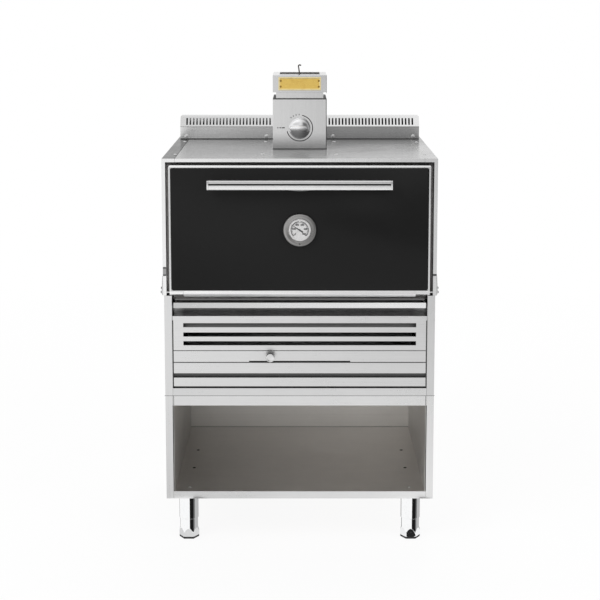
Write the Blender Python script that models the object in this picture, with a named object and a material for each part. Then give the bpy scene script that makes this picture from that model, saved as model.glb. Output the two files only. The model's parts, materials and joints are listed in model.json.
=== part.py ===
"""Free-standing charcoal oven on an open base cabinet, modelled as an assembly.

Metres, +Z up. The front faces -Y and +X is to the viewer's right. The origin lies on the
floor, in the middle of the oven's width and depth. Inside the functions, Y is the depth
behind the casing's front plane, and the assembly empty moves that plane to its place.
"""

import math

import bmesh
import bpy
from mathutils import Matrix, Vector

# Driving dimensions of the whole oven
BASE_WIDTH = 0.955
CASING_OVERHANG = 0.004
DEPTH = 0.880
LEG_HEIGHT = 0.1677
BASE_HEIGHT = 0.3785
LOWER_BODY_HEIGHT = 0.3615
UPPER_BODY_HEIGHT = 0.4843
SHEET = 0.002
FOLD_RETURN = 0.020

# Clearances and cutting allowances
SEAT_GAP = 0.0003
SLIDE_GAP = 0.001
CUT_OVERRUN = 0.010
JOIN_OVERLAP = 0.0006
ROUND_SIDES = 28
PIN_SIDES = 16
WIRE_SIDES = 8
SHARP_ANGLE = math.radians(35)

# Base cabinet
POST_WIDTH = 0.0255
BASE_BOTTOM_RAIL = 0.0268
BASE_TOP_RAIL = 0.0358
REAR_FLANGE = 0.020

# Legs and levelling feet
LEG_SIDE_INSET = 0.0745
LEG_FRONT_INSET = 0.080
LEG_TUBE_DIAMETER = 0.070
LEG_TUBE_WALL = 0.0018
LEG_TUBE_CLEAR = 0.0746
LEG_PLATE_SIZE = 0.108
LEG_PLATE_THICKNESS = 0.004
FOOT_SLEEVE_DIAMETER = 0.065
FOOT_SLEEVE_TOP = 0.135
FOOT_HEX_HEIGHT = 0.0369
FOOT_HEX_CORNERS = 0.072
FOOT_HEX_CHAMFER = 0.003

# Lower body, from its floor rail up to the recess under the door
LOWER_POST_WIDTH = 0.027
FLOOR_RAIL = 0.0275
PANEL_SIDE_GAP = 0.0025
DRAWER_FRONT_GAP = 0.0065
DRAWER_FRONT_HEIGHT = 0.0858
DRAWER_FRONT_THICKNESS = 0.020
DRAWER_GROOVE_RISE = 0.0321
DRAWER_GROOVE_HEIGHT = 0.0154
DRAWER_GROOVE_DEPTH = 0.014
DRAWER_REAR_SPACE = 0.2551
DRAWER_SIDE_MARGIN = 0.036
DRAWER_WALL_HEIGHT = 0.066
RUNNER_WIDTH = 0.024
AIR_SLOT_HEIGHT = 0.005
FASCIA_GAP = 0.0018
AIR_SLOT_LENGTH = 0.358
FASCIA_HEIGHT = 0.0410
FASCIA_SEAM = 0.002
LOUVRE_PANEL_HEIGHT = 0.1116
LOUVRE_SLOT_END_MARGIN = 0.0368
LOUVRE_SLOT_HEIGHT = 0.0145
LOUVRE_SLOT_RISES = (0.0186, 0.0501, 0.0837)
LEDGE_DEPTH = 0.065
LEDGE_RETURN = 0.045
RECESS_HEIGHT = 0.0413
TRAY_LIP_HEIGHT = 0.0190
TRAY_LIP_REACH = 0.014
TRAY_DEPTH = 0.145
TRAY_RIM = 0.010
TRAY_SIDE_GAP = 0.004

# Air control behind the fascia
AIR_PORT_LENGTH = 0.060
AIR_PORT_HEIGHT = 0.014
AIR_PORT_PITCH = 0.120
PLATE_PORTS = 5
SHUTTER_PORTS = 3
SHUTTER_LENGTH = 0.300
AIR_TAB_WIDTH = 0.018
AIR_TAB_THICKNESS = 0.003
AIR_TAB_REACH = 0.014
AIR_KNOB_X = -0.104
AIR_KNOB_DIAMETER = 0.030
AIR_KNOB_REACH = 0.040
AIR_KNOB_RISE = 0.0235
AIR_KNOB_RIM = 0.002
AIR_KNOB_SKIRT_SHARE = 0.5
AIR_KNOB_NECK_SHARE = 0.67

# Upper body: casing border, mouth frame, cavity and firebox
BORDER = 0.0126
JAMB_DEPTH = 0.055
TOP_FLANGE = 0.0455
FLUE_HALF_WIDTH = 0.080
FLUE_MARGIN = 0.030
MOUTH_SIDE_MARGIN = 0.0965
MOUTH_SILL = 0.032
DRIP_DROP = 0.016
DRIP_REACH = 0.010
MOUTH_HEAD = 0.0473
LINER_THICKNESS = 0.003
LINER_REAR_SPACE = 0.1778
FIREBOX_WALL = 0.030
FIREBOX_HEIGHT = 0.200
FIREBOX_FRONT_SETBACK = 0.170
FIREBOX_REAR_SETBACK = 0.0276
FIREBOX_SIDE_SETBACK = 0.025
FIREBOX_THROAT_SHARE = 0.55
GRATE_THICKNESS = 0.012
GRATE_LEDGE = 0.012
ASH_THROAT_HEIGHT = 0.024
GRATE_BARS = 15
GRATE_BAR_SHARE = 0.55
RACK_LEVEL_SHARES = (0.21, 0.53)
RACK_BAR_WIDTH = 0.008
RACK_BAR_HEIGHT = 0.008
RACK_BARS = 17
RACK_REAR_CLEARANCE = 0.0553
RACK_RUNNER_WIDTH = 0.018
RACK_RUNNER_THICKNESS = 0.003
RACK_SIDE_GAP = 0.004
RACK_FRONT_CLEARANCE = 0.012
RACK_RUNNER_HEAD = 0.016
INSULATION_THICKNESS = 0.030

# Door
DOOR_GAP = 0.0113
DOOR_TOP_GAP = 0.0095
DOOR_THICKNESS = 0.045
DOOR_FACE_PROUD = 0.004
DOOR_RIM = 0.0063
DOOR_TOP_RIM = 0.0100
DOOR_BOTTOM_RIM = 0.0247
DOOR_BOTTOM_DROP = 0.0062
GLASS_LEDGE = 0.006
DOOR_CHAMFER_HEIGHT = 0.0118
DOOR_CHAMFER_DEPTH = 0.014
GLASS_THICKNESS = 0.005
INNER_SKIN_INSET = 0.006
PLUG_CLEARANCE = 0.015
PLUG_DEPTH = 0.050
GASKET_WIDTH = 0.012
GASKET_INSET = 0.008
HINGE_SETBACK = 0.0095
HINGE_PIN_DIAMETER = 0.005
HINGE_PIN_CLEARANCE = 0.0003
HINGE_PIN_RISE = 0.0095
HINGE_LEAF_WIDTH = 0.049
HINGE_LEAF_RISE = 0.0079
HINGE_LEAF_HEIGHT = 0.0140
HINGE_LEAF_CHAMFER = 0.004
HINGE_COVER_THICKNESS = 0.005
HINGE_COVER_LENGTH = 0.120
HINGE_COVER_HEIGHT = 0.070
HINGE_COVER_SLOPE = 0.010
HINGE_COVER_TOP_THICKNESS = 0.0015

# Door handle
HANDLE_END_MARGIN = 0.13625
HANDLE_HEIGHT = 0.034
HANDLE_DEPTH = 0.030
HANDLE_REACH = 0.060
HANDLE_DROP = 0.0485
HANDLE_CAP = 0.006
HANDLE_WALL = 0.003
HANDLE_GROOVE_DROP = 0.011
HANDLE_GROOVE_HEIGHT = 0.006
HANDLE_GROOVE_DEPTH = 0.008
HANDLE_POST_WIDTH = 0.030
HANDLE_POST_INSET = 0.020
HANDLE_POST_HEIGHT = 0.022
BRACKET_WIDTH = 0.107
BRACKET_HEIGHT = 0.030
BRACKET_SAG = 0.007
BRACKET_STEPS = 8

# Thermometer in the door
BEZEL_DIAMETER = 0.116
BEZEL_DEPTH = 0.018
BEZEL_CHAMFER = 0.006
DIAL_DIAMETER = 0.0785
DIAL_RECESS = 0.009
DIAL_THICKNESS = 0.002
STEM_DIAMETER = 0.012
STEM_CLEARANCE = 0.0005
PROBE_LENGTH = 0.125
NEEDLE_LENGTH = 0.036
NEEDLE_TAIL = 0.012
NEEDLE_WIDTH = 0.003
NEEDLE_TIP_WIDTH = 0.0008
NEEDLE_THICKNESS = 0.0012
NEEDLE_HUB_DIAMETER = 0.009
NEEDLE_REST_ANGLE = 148.0
LENS_THICKNESS = 0.0015
THERMOMETER_RISE_SHARE = 0.5154

# Chimney: damper housing, damper, spark trap and its name plate blank
CHIMNEY_WIDTH = 0.1975
CHIMNEY_DEPTH = 0.257
CHIMNEY_SETBACK_SHARE = 0.3878
HOUSING_HEIGHT = 0.186
NECK_HEIGHT = 0.0235
NECK_INSET = 0.012
NECK_LEDGE = 0.006
TRAP_HEIGHT = 0.0625
TRAP_WALL = 0.003
TRAP_LEDGE = 0.009
DAMPER_KNOB_DIAMETER = 0.078
DAMPER_KNOB_REACH = 0.026
DAMPER_SKIRT_THICKNESS = 0.008
DAMPER_KNOB_BEVEL = 0.004
DAMPER_HUB_SHARE = 0.5
DAMPER_HUB_SETBACK = 0.004
DAMPER_GRIP_WIDTH = 0.012
DAMPER_DROP = 0.108
DAMPER_SHAFT_DIAMETER = 0.010
DAMPER_SHAFT_CLEARANCE = 0.0005
DAMPER_SHAFT_STUB = 0.004
DAMPER_FLAP_THICKNESS = 0.003
DAMPER_FLAP_HALF_WIDTH = 0.073
DAMPER_FLAP_MARGIN = 0.008
HOUSING_WALL = 0.003
TRAP_MOUTH_HALF_WIDTH = 0.074
TRAP_MOUTH_FRONT = 0.062
TRAP_MOUTH_REAR = 0.010
FILTER_HEIGHT = 0.045
FILTER_SLOTS = 7
FILTER_SLOT_SHARE = 0.5
FILTER_RIM = 0.008
HOOK_WIRE = 0.005
HOOK_HEIGHT = 0.0334
HOOK_BEND = 0.0048
HOOK_SWEEP = 160
HOOK_STEPS = 9
HOOK_STEM_SHARES = ((0.0, 0.0), (0.10, 0.30), (0.45, 0.62))
NAME_BLANK_WIDTH = 0.156
NAME_BLANK_HEIGHT = 0.049
NAME_BLANK_THICKNESS = 0.002

# Rear vents
VENT_DEPTH = 0.1122
VENT_PLATE_HEIGHT = 0.050
VENT_BAND_RISE = 0.0375
VENT_BAND_LEAN = 0.022
VENT_END_INSET = 0.011
VENT_CHIMNEY_GAP = 0.0064
VENT_SLOT_LAST = 0.011
VENT_SLOT_WIDTH = 0.0063
VENT_SLOT_PITCH = 0.0131
VENT_SLOT_FIRST = 0.0262
VENT_SLOT_MARGIN = 0.006

# Levels and places that follow from the driving dimensions
BASE_TOP = LEG_HEIGHT + BASE_HEIGHT
BODY_BOTTOM = BASE_TOP + SEAT_GAP
DRAWER_BOTTOM = BODY_BOTTOM + FLOOR_RAIL + DRAWER_FRONT_GAP
DRAWER_TOP = DRAWER_BOTTOM + DRAWER_FRONT_HEIGHT
FASCIA_BOTTOM = DRAWER_TOP + FASCIA_GAP
FASCIA_TOP = FASCIA_BOTTOM + FASCIA_HEIGHT
LOUVRE_BOTTOM = FASCIA_TOP + FASCIA_SEAM
LEDGE_TOP = LOUVRE_BOTTOM + LOUVRE_PANEL_HEIGHT
RECESS_TOP = LEDGE_TOP + RECESS_HEIGHT
LOWER_TOP = BODY_BOTTOM + LOWER_BODY_HEIGHT
UPPER_BOTTOM = LOWER_TOP + SEAT_GAP
CASING_TOP = UPPER_BOTTOM + UPPER_BODY_HEIGHT
DOOR_BOTTOM = UPPER_BOTTOM - DOOR_BOTTOM_DROP
DOOR_TOP = CASING_TOP - BORDER - DOOR_TOP_GAP
MOUTH_BOTTOM = UPPER_BOTTOM + MOUTH_SILL
MOUTH_TOP = CASING_TOP - MOUTH_HEAD
DRIP_LEVEL = UPPER_BOTTOM - DRIP_DROP
LEAF_BOTTOM = DOOR_BOTTOM + HINGE_LEAF_RISE
LEAF_TOP = LEAF_BOTTOM + HINGE_LEAF_HEIGHT
HINGE_Z = LEAF_BOTTOM + HINGE_PIN_RISE
THERMOMETER_Z = DOOR_BOTTOM + THERMOMETER_RISE_SHARE * (DOOR_TOP - DOOR_BOTTOM)
HANDLE_Z = DOOR_TOP - HANDLE_DROP - HANDLE_HEIGHT / 2
CHIMNEY_BOTTOM = CASING_TOP + SEAT_GAP
HOUSING_TOP = CHIMNEY_BOTTOM + HOUSING_HEIGHT
TRAP_BOTTOM = HOUSING_TOP + NECK_HEIGHT
TRAP_TOP = TRAP_BOTTOM + TRAP_HEIGHT
DAMPER_Z = HOUSING_TOP - DAMPER_DROP

# Half widths, each worked out from the wider piece that holds it
BODY_HALF_WIDTH = BASE_WIDTH / 2
CASING_HALF_WIDTH = BODY_HALF_WIDTH + CASING_OVERHANG
PANEL_HALF_WIDTH = BODY_HALF_WIDTH - LOWER_POST_WIDTH - PANEL_SIDE_GAP
TRAY_HALF_WIDTH = PANEL_HALF_WIDTH - TRAY_SIDE_GAP
LOUVRE_SLOT_HALF_LENGTH = PANEL_HALF_WIDTH - LOUVRE_SLOT_END_MARGIN
DOOR_HALF_WIDTH = CASING_HALF_WIDTH - BORDER - DOOR_GAP
HANDLE_HALF_LENGTH = DOOR_HALF_WIDTH - HANDLE_END_MARGIN
MOUTH_HALF_WIDTH = CASING_HALF_WIDTH - MOUTH_SIDE_MARGIN
FIREBOX_HALF_WIDTH = MOUTH_HALF_WIDTH - FIREBOX_SIDE_SETBACK
HINGE_PIN_REACH = BORDER + DOOR_GAP - 2 * SHEET
VENT_INNER_X = CHIMNEY_WIDTH / 2 + VENT_CHIMNEY_GAP
VENT_OUTER_X = CASING_HALF_WIDTH - VENT_END_INSET

# Depths behind the casing's front plane
DOOR_FACE = -DOOR_FACE_PROUD
DOOR_BACK = DOOR_FACE + DOOR_THICKNESS
HINGE_DEPTH = DOOR_FACE + HINGE_SETBACK
MOUTH_PLANE = JAMB_DEPTH + SEAT_GAP
DRIP_DEPTH = MOUTH_PLANE - DRIP_REACH
BACK_FACE = DEPTH - SHEET - SEAT_GAP
BACK_INNER = BACK_FACE - SHEET - SEAT_GAP
LINER_FRONT = MOUTH_PLANE + SHEET + SEAT_GAP
LINER_REAR = BACK_INNER - LINER_REAR_SPACE
FIREBOX_REAR = LINER_REAR - FIREBOX_REAR_SETBACK
RACK_FRONT = MOUTH_PLANE + SHEET + PLUG_DEPTH + RACK_FRONT_CLEARANCE
RACK_REAR = LINER_REAR - LINER_THICKNESS - RACK_REAR_CLEARANCE
DRAWER_BOX_FRONT = DRAWER_FRONT_THICKNESS + SEAT_GAP
DRAWER_BOX_REAR = BACK_INNER - DRAWER_REAR_SPACE
CHIMNEY_FRONT = DEPTH * CHIMNEY_SETBACK_SHARE
CHIMNEY_REAR = CHIMNEY_FRONT + CHIMNEY_DEPTH
VENT_REAR = DEPTH - SHEET
VENT_FRONT = VENT_REAR - VENT_DEPTH
FRONT_PLANE = -(DEPTH - HANDLE_REACH) / 2

# Finishes: colour, roughness, metallic
FINISHES = {
    "brushed_steel": ((0.62, 0.62, 0.61), 0.32, 1.0),
    "bright_steel": ((0.76, 0.76, 0.76), 0.18, 1.0),
    "chrome": ((0.80, 0.80, 0.80), 0.06, 1.0),
    "black_glass": ((0.018, 0.018, 0.018), 0.12, 0.0),
    "cast_iron": ((0.06, 0.06, 0.06), 0.70, 0.6),
    "firebrick": ((0.42, 0.36, 0.28), 0.90, 0.0),
    "wool": ((0.72, 0.70, 0.62), 0.95, 0.0),
    "brass": ((0.82, 0.58, 0.22), 0.28, 1.0),
    "white_dial": ((0.88, 0.88, 0.86), 0.45, 0.0),
    "black_metal": ((0.02, 0.02, 0.02), 0.40, 0.5),
    "clear_glass": ((0.95, 0.95, 0.95), 0.03, 0.0),
    "gasket_rope": ((0.30, 0.29, 0.27), 0.90, 0.0),
}


def clear_scene():
    """Remove every object that is in the scene."""
    for obj in list(bpy.data.objects):
        bpy.data.objects.remove(obj, do_unlink=True)


def finish(name):
    """Return the material of this finish, made on its first use."""
    material = bpy.data.materials.get(name)
    if material:
        return material
    colour, roughness, metallic = FINISHES[name]
    material = bpy.data.materials.new(name)
    material.use_nodes = True
    shader = material.node_tree.nodes["Principled BSDF"]
    shader.inputs["Base Color"].default_value = (*colour, 1.0)
    shader.inputs["Roughness"].default_value = roughness
    shader.inputs["Metallic"].default_value = metallic
    return material


def new_object(name, bm, material, origin=(0, 0, 0)):
    """Turn a bmesh into an object whose origin is at the given point."""
    bmesh.ops.recalc_face_normals(bm, faces=bm.faces)
    bmesh.ops.translate(bm, verts=bm.verts, vec=-Vector(origin))
    mesh = bpy.data.meshes.new(name)
    bm.to_mesh(mesh)
    bm.free()
    mesh.materials.append(finish(material))
    obj = bpy.data.objects.new(name, mesh)
    obj.location = origin
    bpy.context.scene.collection.objects.link(obj)
    return obj


def block(low, high):
    """A rectangular block between two corners."""
    bm = bmesh.new()
    bmesh.ops.create_cube(bm, size=1.0)
    size = Vector(high) - Vector(low)
    centre = (Vector(high) + Vector(low)) / 2
    bmesh.ops.scale(bm, verts=bm.verts, vec=size)
    bmesh.ops.translate(bm, verts=bm.verts, vec=centre)
    return bm


AXIS_TURNS = {"x": Matrix.Rotation(math.pi / 2, 4, "Y"),
              "y": Matrix.Rotation(-math.pi / 2, 4, "X"),
              "z": Matrix.Identity(4)}


def rod(axis, start, length, radius, end_radius=None, sides=ROUND_SIDES):
    """A round or polygonal bar along an axis, from the start point."""
    bm = bmesh.new()
    bmesh.ops.create_cone(bm, cap_ends=True, segments=sides, radius1=radius,
                          radius2=radius if end_radius is None else end_radius, depth=length)
    bmesh.ops.translate(bm, verts=bm.verts, vec=(0, 0, length / 2))
    bmesh.ops.transform(bm, verts=bm.verts, matrix=AXIS_TURNS[axis])
    bmesh.ops.translate(bm, verts=bm.verts, vec=start)
    return bm


def turned(axis, start, profile, sides=ROUND_SIDES):
    """A solid turned about an axis, with flat ends; the profile lists (distance along, radius)."""
    bm = bmesh.new()
    angles = [2 * math.pi * i / sides for i in range(sides)]
    rings = [[bm.verts.new((radius * math.cos(a), radius * math.sin(a), along)) for a in angles]
             for along, radius in profile]
    bm.faces.new(rings[0])
    bm.faces.new(rings[-1])
    for lower, upper in zip(rings, rings[1:]):
        for i in range(sides):
            j = (i + 1) % sides
            bm.faces.new((lower[i], lower[j], upper[j], upper[i]))
    bmesh.ops.transform(bm, verts=bm.verts, matrix=AXIS_TURNS[axis])
    bmesh.ops.translate(bm, verts=bm.verts, vec=start)
    return bm


def prism(outline, axis, start, end):
    """An outline carried along an axis. Its points are (y, z), (x, z) or (x, y)."""
    bm = bmesh.new()
    place = {"x": lambda a, b, c: (c, a, b), "y": lambda a, b, c: (a, c, b),
             "z": lambda a, b, c: (a, b, c)}[axis]
    low = [bm.verts.new(place(a, b, start)) for a, b in outline]
    high = [bm.verts.new(place(a, b, end)) for a, b in outline]
    bm.faces.new(low)
    bm.faces.new(high)
    for i, point in enumerate(low):
        j = (i + 1) % len(low)
        bm.faces.new((point, low[j], high[j], high[i]))
    return bm


def folded(path, thickness=SHEET):
    """The outline of a sheet folded along a path, its thickness on the path's left side."""
    sides = []
    for (a, b), (c, d) in zip(path, path[1:]):
        length = math.hypot(c - a, d - b)
        sides.append(((b - d) / length, (c - a) / length))
    inner = []
    for i, (a, b) in enumerate(path):
        before = sides[max(i - 1, 0)]
        after = sides[min(i, len(sides) - 1)]
        u, v = before[0] + after[0], before[1] + after[1]
        mitre = 2 * thickness / (u * u + v * v)
        inner.append((a + u * mitre, b + v * mitre))
    return list(path) + inner[::-1]


def pierced(axis, low, high, holes):
    """A flat plate with rectangular openings right through it along the given axis.

    Each hole is (low corner, high corner) in the two directions across the axis.
    """
    across = [i for i in range(3) if i != "xyz".index(axis)]
    along = "xyz".index(axis)
    lines = []
    for k, i in enumerate(across):
        cuts = {low[i], high[i]}
        for hole in holes:
            cuts.update((hole[0][k], hole[1][k]))
        lines.append(sorted(cuts))
    bm = bmesh.new()

    found = {}

    def vertex(i, j, side):
        if (i, j, side) not in found:
            place = [0.0, 0.0, 0.0]
            place[across[0]] = lines[0][i]
            place[across[1]] = lines[1][j]
            place[along] = (low, high)[side][along]
            found[i, j, side] = bm.verts.new(place)
        return found[i, j, side]

    def solid(i, j):
        if not (0 <= i < len(lines[0]) - 1 and 0 <= j < len(lines[1]) - 1):
            return False
        u = (lines[0][i] + lines[0][i + 1]) / 2
        v = (lines[1][j] + lines[1][j + 1]) / 2
        return not any(a[0] < u < b[0] and a[1] < v < b[1] for a, b in holes)

    for i in range(len(lines[0]) - 1):
        for j in range(len(lines[1]) - 1):
            if not solid(i, j):
                continue
            corners = ((i, j), (i + 1, j), (i + 1, j + 1), (i, j + 1))
            for side in (0, 1):
                bm.faces.new([vertex(a, b, side) for a, b in corners])
            beside = ((i, j - 1), (i + 1, j), (i, j + 1), (i - 1, j))
            for k, other in enumerate(beside):
                if solid(*other):
                    continue
                a = corners[k]
                b = corners[(k + 1) % 4]
                bm.faces.new((vertex(*a, 0), vertex(*b, 0), vertex(*b, 1), vertex(*a, 1)))
    return bm


ASSEMBLY_NAME = "oven_assembly"
SIDES = (("left", -1), ("right", 1))


def part(name, material, body, joins=(), cuts=(), origin=(0, 0, 0), smooth=False):
    """Add one piece: a body, what is joined to it and what is cut from it."""
    assembly = bpy.data.objects[ASSEMBLY_NAME]
    obj = new_object(name, body, material, origin)
    obj.parent = assembly
    steps = [("UNION", shape) for shape in joins] + [("DIFFERENCE", shape) for shape in cuts]
    for number, (operation, shape) in enumerate(steps):
        helper = new_object(f"{name}_{operation.lower()}_{number}", shape, material)
        helper.parent = assembly
        helper.hide_render = True
        helper.display_type = "WIRE"
        modifier = obj.modifiers.new(f"{operation.lower()}_{number}", "BOOLEAN")
        modifier.operation = operation
        modifier.object = helper
    if smooth:
        obj.data.shade_smooth()
        obj.data.set_sharp_from_angle(angle=SHARP_ANGLE)
    return obj


def mirrored(outline, sign):
    """The outline with its first coordinate turned to the left side for a sign of -1."""
    return [(sign * a, b) for a, b in outline]


def side_block(sign, low, high):
    """A block given for the right side, or its mirror image for the left side."""
    xs = sorted((sign * low[0], sign * high[0]))
    return block((xs[0], *low[1:]), (xs[1], *high[1:]))



def side_panel_outline(half_width, post, front_return):
    """Plan of a side panel: front return, post face, side wall and rear flange."""
    return folded([
        (half_width - post, front_return),
        (half_width - post, 0),
        (half_width, 0),
        (half_width, DEPTH),
        (half_width - REAR_FLANGE, DEPTH),
    ])


def drawer_runners():
    """The two folded runners that stand on the body floor and carry the ash drawer."""
    runner_top = BODY_BOTTOM + FLOOR_RAIL + SLIDE_GAP
    wide = BODY_HALF_WIDTH - DRAWER_SIDE_MARGIN
    foot = BODY_BOTTOM + SHEET - JOIN_OVERLAP
    outline = folded([(wide - RUNNER_WIDTH, runner_top - SHEET), (wide, runner_top - SHEET),
                      (wide, foot), (wide + FOLD_RETURN, foot)])
    start = FOLD_RETURN + SHEET
    return [prism(mirrored(outline, sign), "y", start, DRAWER_BOX_REAR) for _, sign in SIDES]


def shelf(name, half_width, post, profile, underside, fittings=()):
    """A shelf with a folded front rail between the posts and its sheet out to the walls."""
    wing = block((-half_width + SHEET + SEAT_GAP, FOLD_RETURN + SEAT_GAP, underside),
                 (half_width - SHEET - SEAT_GAP, BACK_INNER, underside + SHEET))
    inner = half_width - post - SEAT_GAP
    part(name, "brushed_steel", prism(folded(profile), "x", -inner, inner),
         joins=[wing, *fittings])


def base_cabinet():
    """The open cabinet that carries the oven: sides, back, floor and top deck."""
    outline = side_panel_outline(BODY_HALF_WIDTH, POST_WIDTH, FOLD_RETURN)
    for side, sign in SIDES:
        part(f"base_side_{side}", "brushed_steel",
             prism(mirrored(outline, sign), "z", LEG_HEIGHT, BASE_TOP))
    floor_level = LEG_HEIGHT + BASE_BOTTOM_RAIL
    for name, top, rail in (("base_floor", floor_level, BASE_BOTTOM_RAIL),
                            ("base_top_deck", BASE_TOP, BASE_TOP_RAIL)):
        profile = [(BACK_INNER, top), (0, top), (0, top - rail), (FOLD_RETURN, top - rail)]
        shelf(name, BODY_HALF_WIDTH, POST_WIDTH, profile, top - SHEET)
    inside = BODY_HALF_WIDTH - SHEET - SEAT_GAP
    part("base_back", "brushed_steel",
         block((-inside, BACK_FACE - SHEET, LEG_HEIGHT), (inside, BACK_FACE, BASE_TOP)))


def legs():
    """Four tubular legs under the cabinet floor, with telescopic hexagonal feet."""
    plate_top = LEG_HEIGHT + BASE_BOTTOM_RAIL - SHEET - SEAT_GAP
    plate_bottom = plate_top - LEG_PLATE_THICKNESS
    side = BODY_HALF_WIDTH - LEG_SIDE_INSET
    for end, y in (("front", LEG_FRONT_INSET), ("rear", DEPTH - LEG_FRONT_INSET)):
        for name, sign in SIDES:
            place = (sign * side, y)
            one_leg(f"{end}_{name}", place, plate_bottom, plate_top)
            one_foot(f"{end}_{name}", place)


def one_leg(name, place, plate_bottom, plate_top):
    """A tube open at the bottom, under a square plate."""
    radius = LEG_TUBE_DIAMETER / 2
    half = LEG_PLATE_SIZE / 2
    tube = rod("z", (*place, LEG_TUBE_CLEAR), plate_bottom + JOIN_OVERLAP - LEG_TUBE_CLEAR, radius)
    plate = block((place[0] - half, place[1] - half, plate_bottom),
                  (place[0] + half, place[1] + half, plate_top))
    bore = rod("z", (*place, LEG_TUBE_CLEAR - CUT_OVERRUN),
               plate_bottom - LEG_TUBE_CLEAR + CUT_OVERRUN, radius - LEG_TUBE_WALL)
    part(f"leg_{name}", "chrome", tube, joins=[plate], cuts=[bore], smooth=True)


def one_foot(name, place):
    """A sleeve that slides in the leg, on a hexagonal foot with a flat to the front."""
    corner = FOOT_HEX_CORNERS / 2
    bevel = FOOT_HEX_CHAMFER
    foot = turned("z", (*place, 0), [
        (0, corner - bevel), (bevel, corner), (FOOT_HEX_HEIGHT - bevel, corner),
        (FOOT_HEX_HEIGHT, corner - bevel)], sides=6)
    sleeve_radius = FOOT_SLEEVE_DIAMETER / 2
    sleeve = rod("z", (*place, FOOT_HEX_HEIGHT - JOIN_OVERLAP),
                 FOOT_SLEEVE_TOP - FOOT_HEX_HEIGHT, sleeve_radius)
    bore = rod("z", (*place, FOOT_HEX_HEIGHT + SHEET), FOOT_SLEEVE_TOP, sleeve_radius - SHEET)
    part(f"foot_{name}", "chrome", foot, joins=[sleeve], cuts=[bore],
         origin=(*place, 0), smooth=True)


def lower_body():
    """The lower casing: sides, back, floor rail, louvre panel and recess sill."""
    outline = side_panel_outline(BODY_HALF_WIDTH, LOWER_POST_WIDTH, FOLD_RETURN)
    for side, sign in SIDES:
        part(f"body_side_{side}", "brushed_steel",
             prism(mirrored(outline, sign), "z", BODY_BOTTOM, LOWER_TOP))
    rail_top = BODY_BOTTOM + FLOOR_RAIL
    shelf("body_floor", BODY_HALF_WIDTH, LOWER_POST_WIDTH,
          [(FOLD_RETURN, rail_top), (0, rail_top), (0, BODY_BOTTOM), (BACK_INNER, BODY_BOTTOM)],
          BODY_BOTTOM, drawer_runners())
    inside = BODY_HALF_WIDTH - SHEET - SEAT_GAP
    part("body_back", "brushed_steel",
         block((-inside, BACK_FACE - SHEET, BODY_BOTTOM),
               (inside, BACK_FACE, CASING_TOP - SHEET - SEAT_GAP)))
    louvre_panel()
    recess_sill()


def louvre_panel():
    """The panel with three long air slots, and the ledge over it with its return."""
    half = PANEL_HALF_WIDTH
    face = prism(folded([(LEDGE_DEPTH, LEDGE_TOP - LEDGE_RETURN), (LEDGE_DEPTH, LEDGE_TOP),
                         (0, LEDGE_TOP), (0, LOUVRE_BOTTOM), (FOLD_RETURN, LOUVRE_BOTTOM)]),
                 "x", -half, half)
    slots = []
    for rise in LOUVRE_SLOT_RISES:
        bottom = LOUVRE_BOTTOM + rise
        slots.append(block((-LOUVRE_SLOT_HALF_LENGTH, -CUT_OVERRUN, bottom),
                           (LOUVRE_SLOT_HALF_LENGTH, SHEET + CUT_OVERRUN,
                            bottom + LOUVRE_SLOT_HEIGHT)))
    part("louvre_panel", "brushed_steel", face, cuts=slots)


def recess_sill():
    """The back of the finger recess and the shelf that the crumb tray slides on."""
    inside = BODY_HALF_WIDTH - SHEET - SEAT_GAP
    front = LEDGE_DEPTH + SEAT_GAP + SHEET
    rear = TRAY_DEPTH + SEAT_GAP + SHEET
    outline = folded([(front, LEDGE_TOP - SHEET), (front, RECESS_TOP), (rear, RECESS_TOP),
                      (rear, LOWER_TOP - SEAT_GAP)])
    part("recess_sill", "brushed_steel", prism(outline, "x", -inside, inside))


def ash_drawer():
    """The ash drawer: its grooved front and its open box."""
    half = PANEL_HALF_WIDTH
    groove = DRAWER_BOTTOM + DRAWER_GROOVE_RISE
    part("ash_drawer_front", "brushed_steel",
         block((-half, 0, DRAWER_BOTTOM), (half, DRAWER_FRONT_THICKNESS, DRAWER_TOP)),
         cuts=[block((-half - CUT_OVERRUN, -CUT_OVERRUN, groove),
                     (half + CUT_OVERRUN, DRAWER_GROOVE_DEPTH, groove + DRAWER_GROOVE_HEIGHT))])
    runner_top = BODY_BOTTOM + FLOOR_RAIL + SLIDE_GAP
    wide = BODY_HALF_WIDTH - DRAWER_SIDE_MARGIN
    front = DRAWER_BOX_FRONT
    low = (-wide, front, runner_top + SEAT_GAP)
    high = (wide, DRAWER_BOX_REAR, low[2] + DRAWER_WALL_HEIGHT)
    part("ash_drawer_box", "brushed_steel", block(low, high),
         cuts=[block((-wide + SHEET, front + SHEET, low[2] + SHEET),
                     (wide - SHEET, high[1] - SHEET, high[2] + CUT_OVERRUN))])


def port_row(count, first, level):
    """Rectangular air ports in a row: each is its low and high (x, z) corner."""
    return [((AIR_KNOB_X + (first + i) * AIR_PORT_PITCH - AIR_PORT_LENGTH / 2, level),
             (AIR_KNOB_X + (first + i) * AIR_PORT_PITCH + AIR_PORT_LENGTH / 2,
              level + AIR_PORT_HEIGHT)) for i in range(count)]


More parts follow.
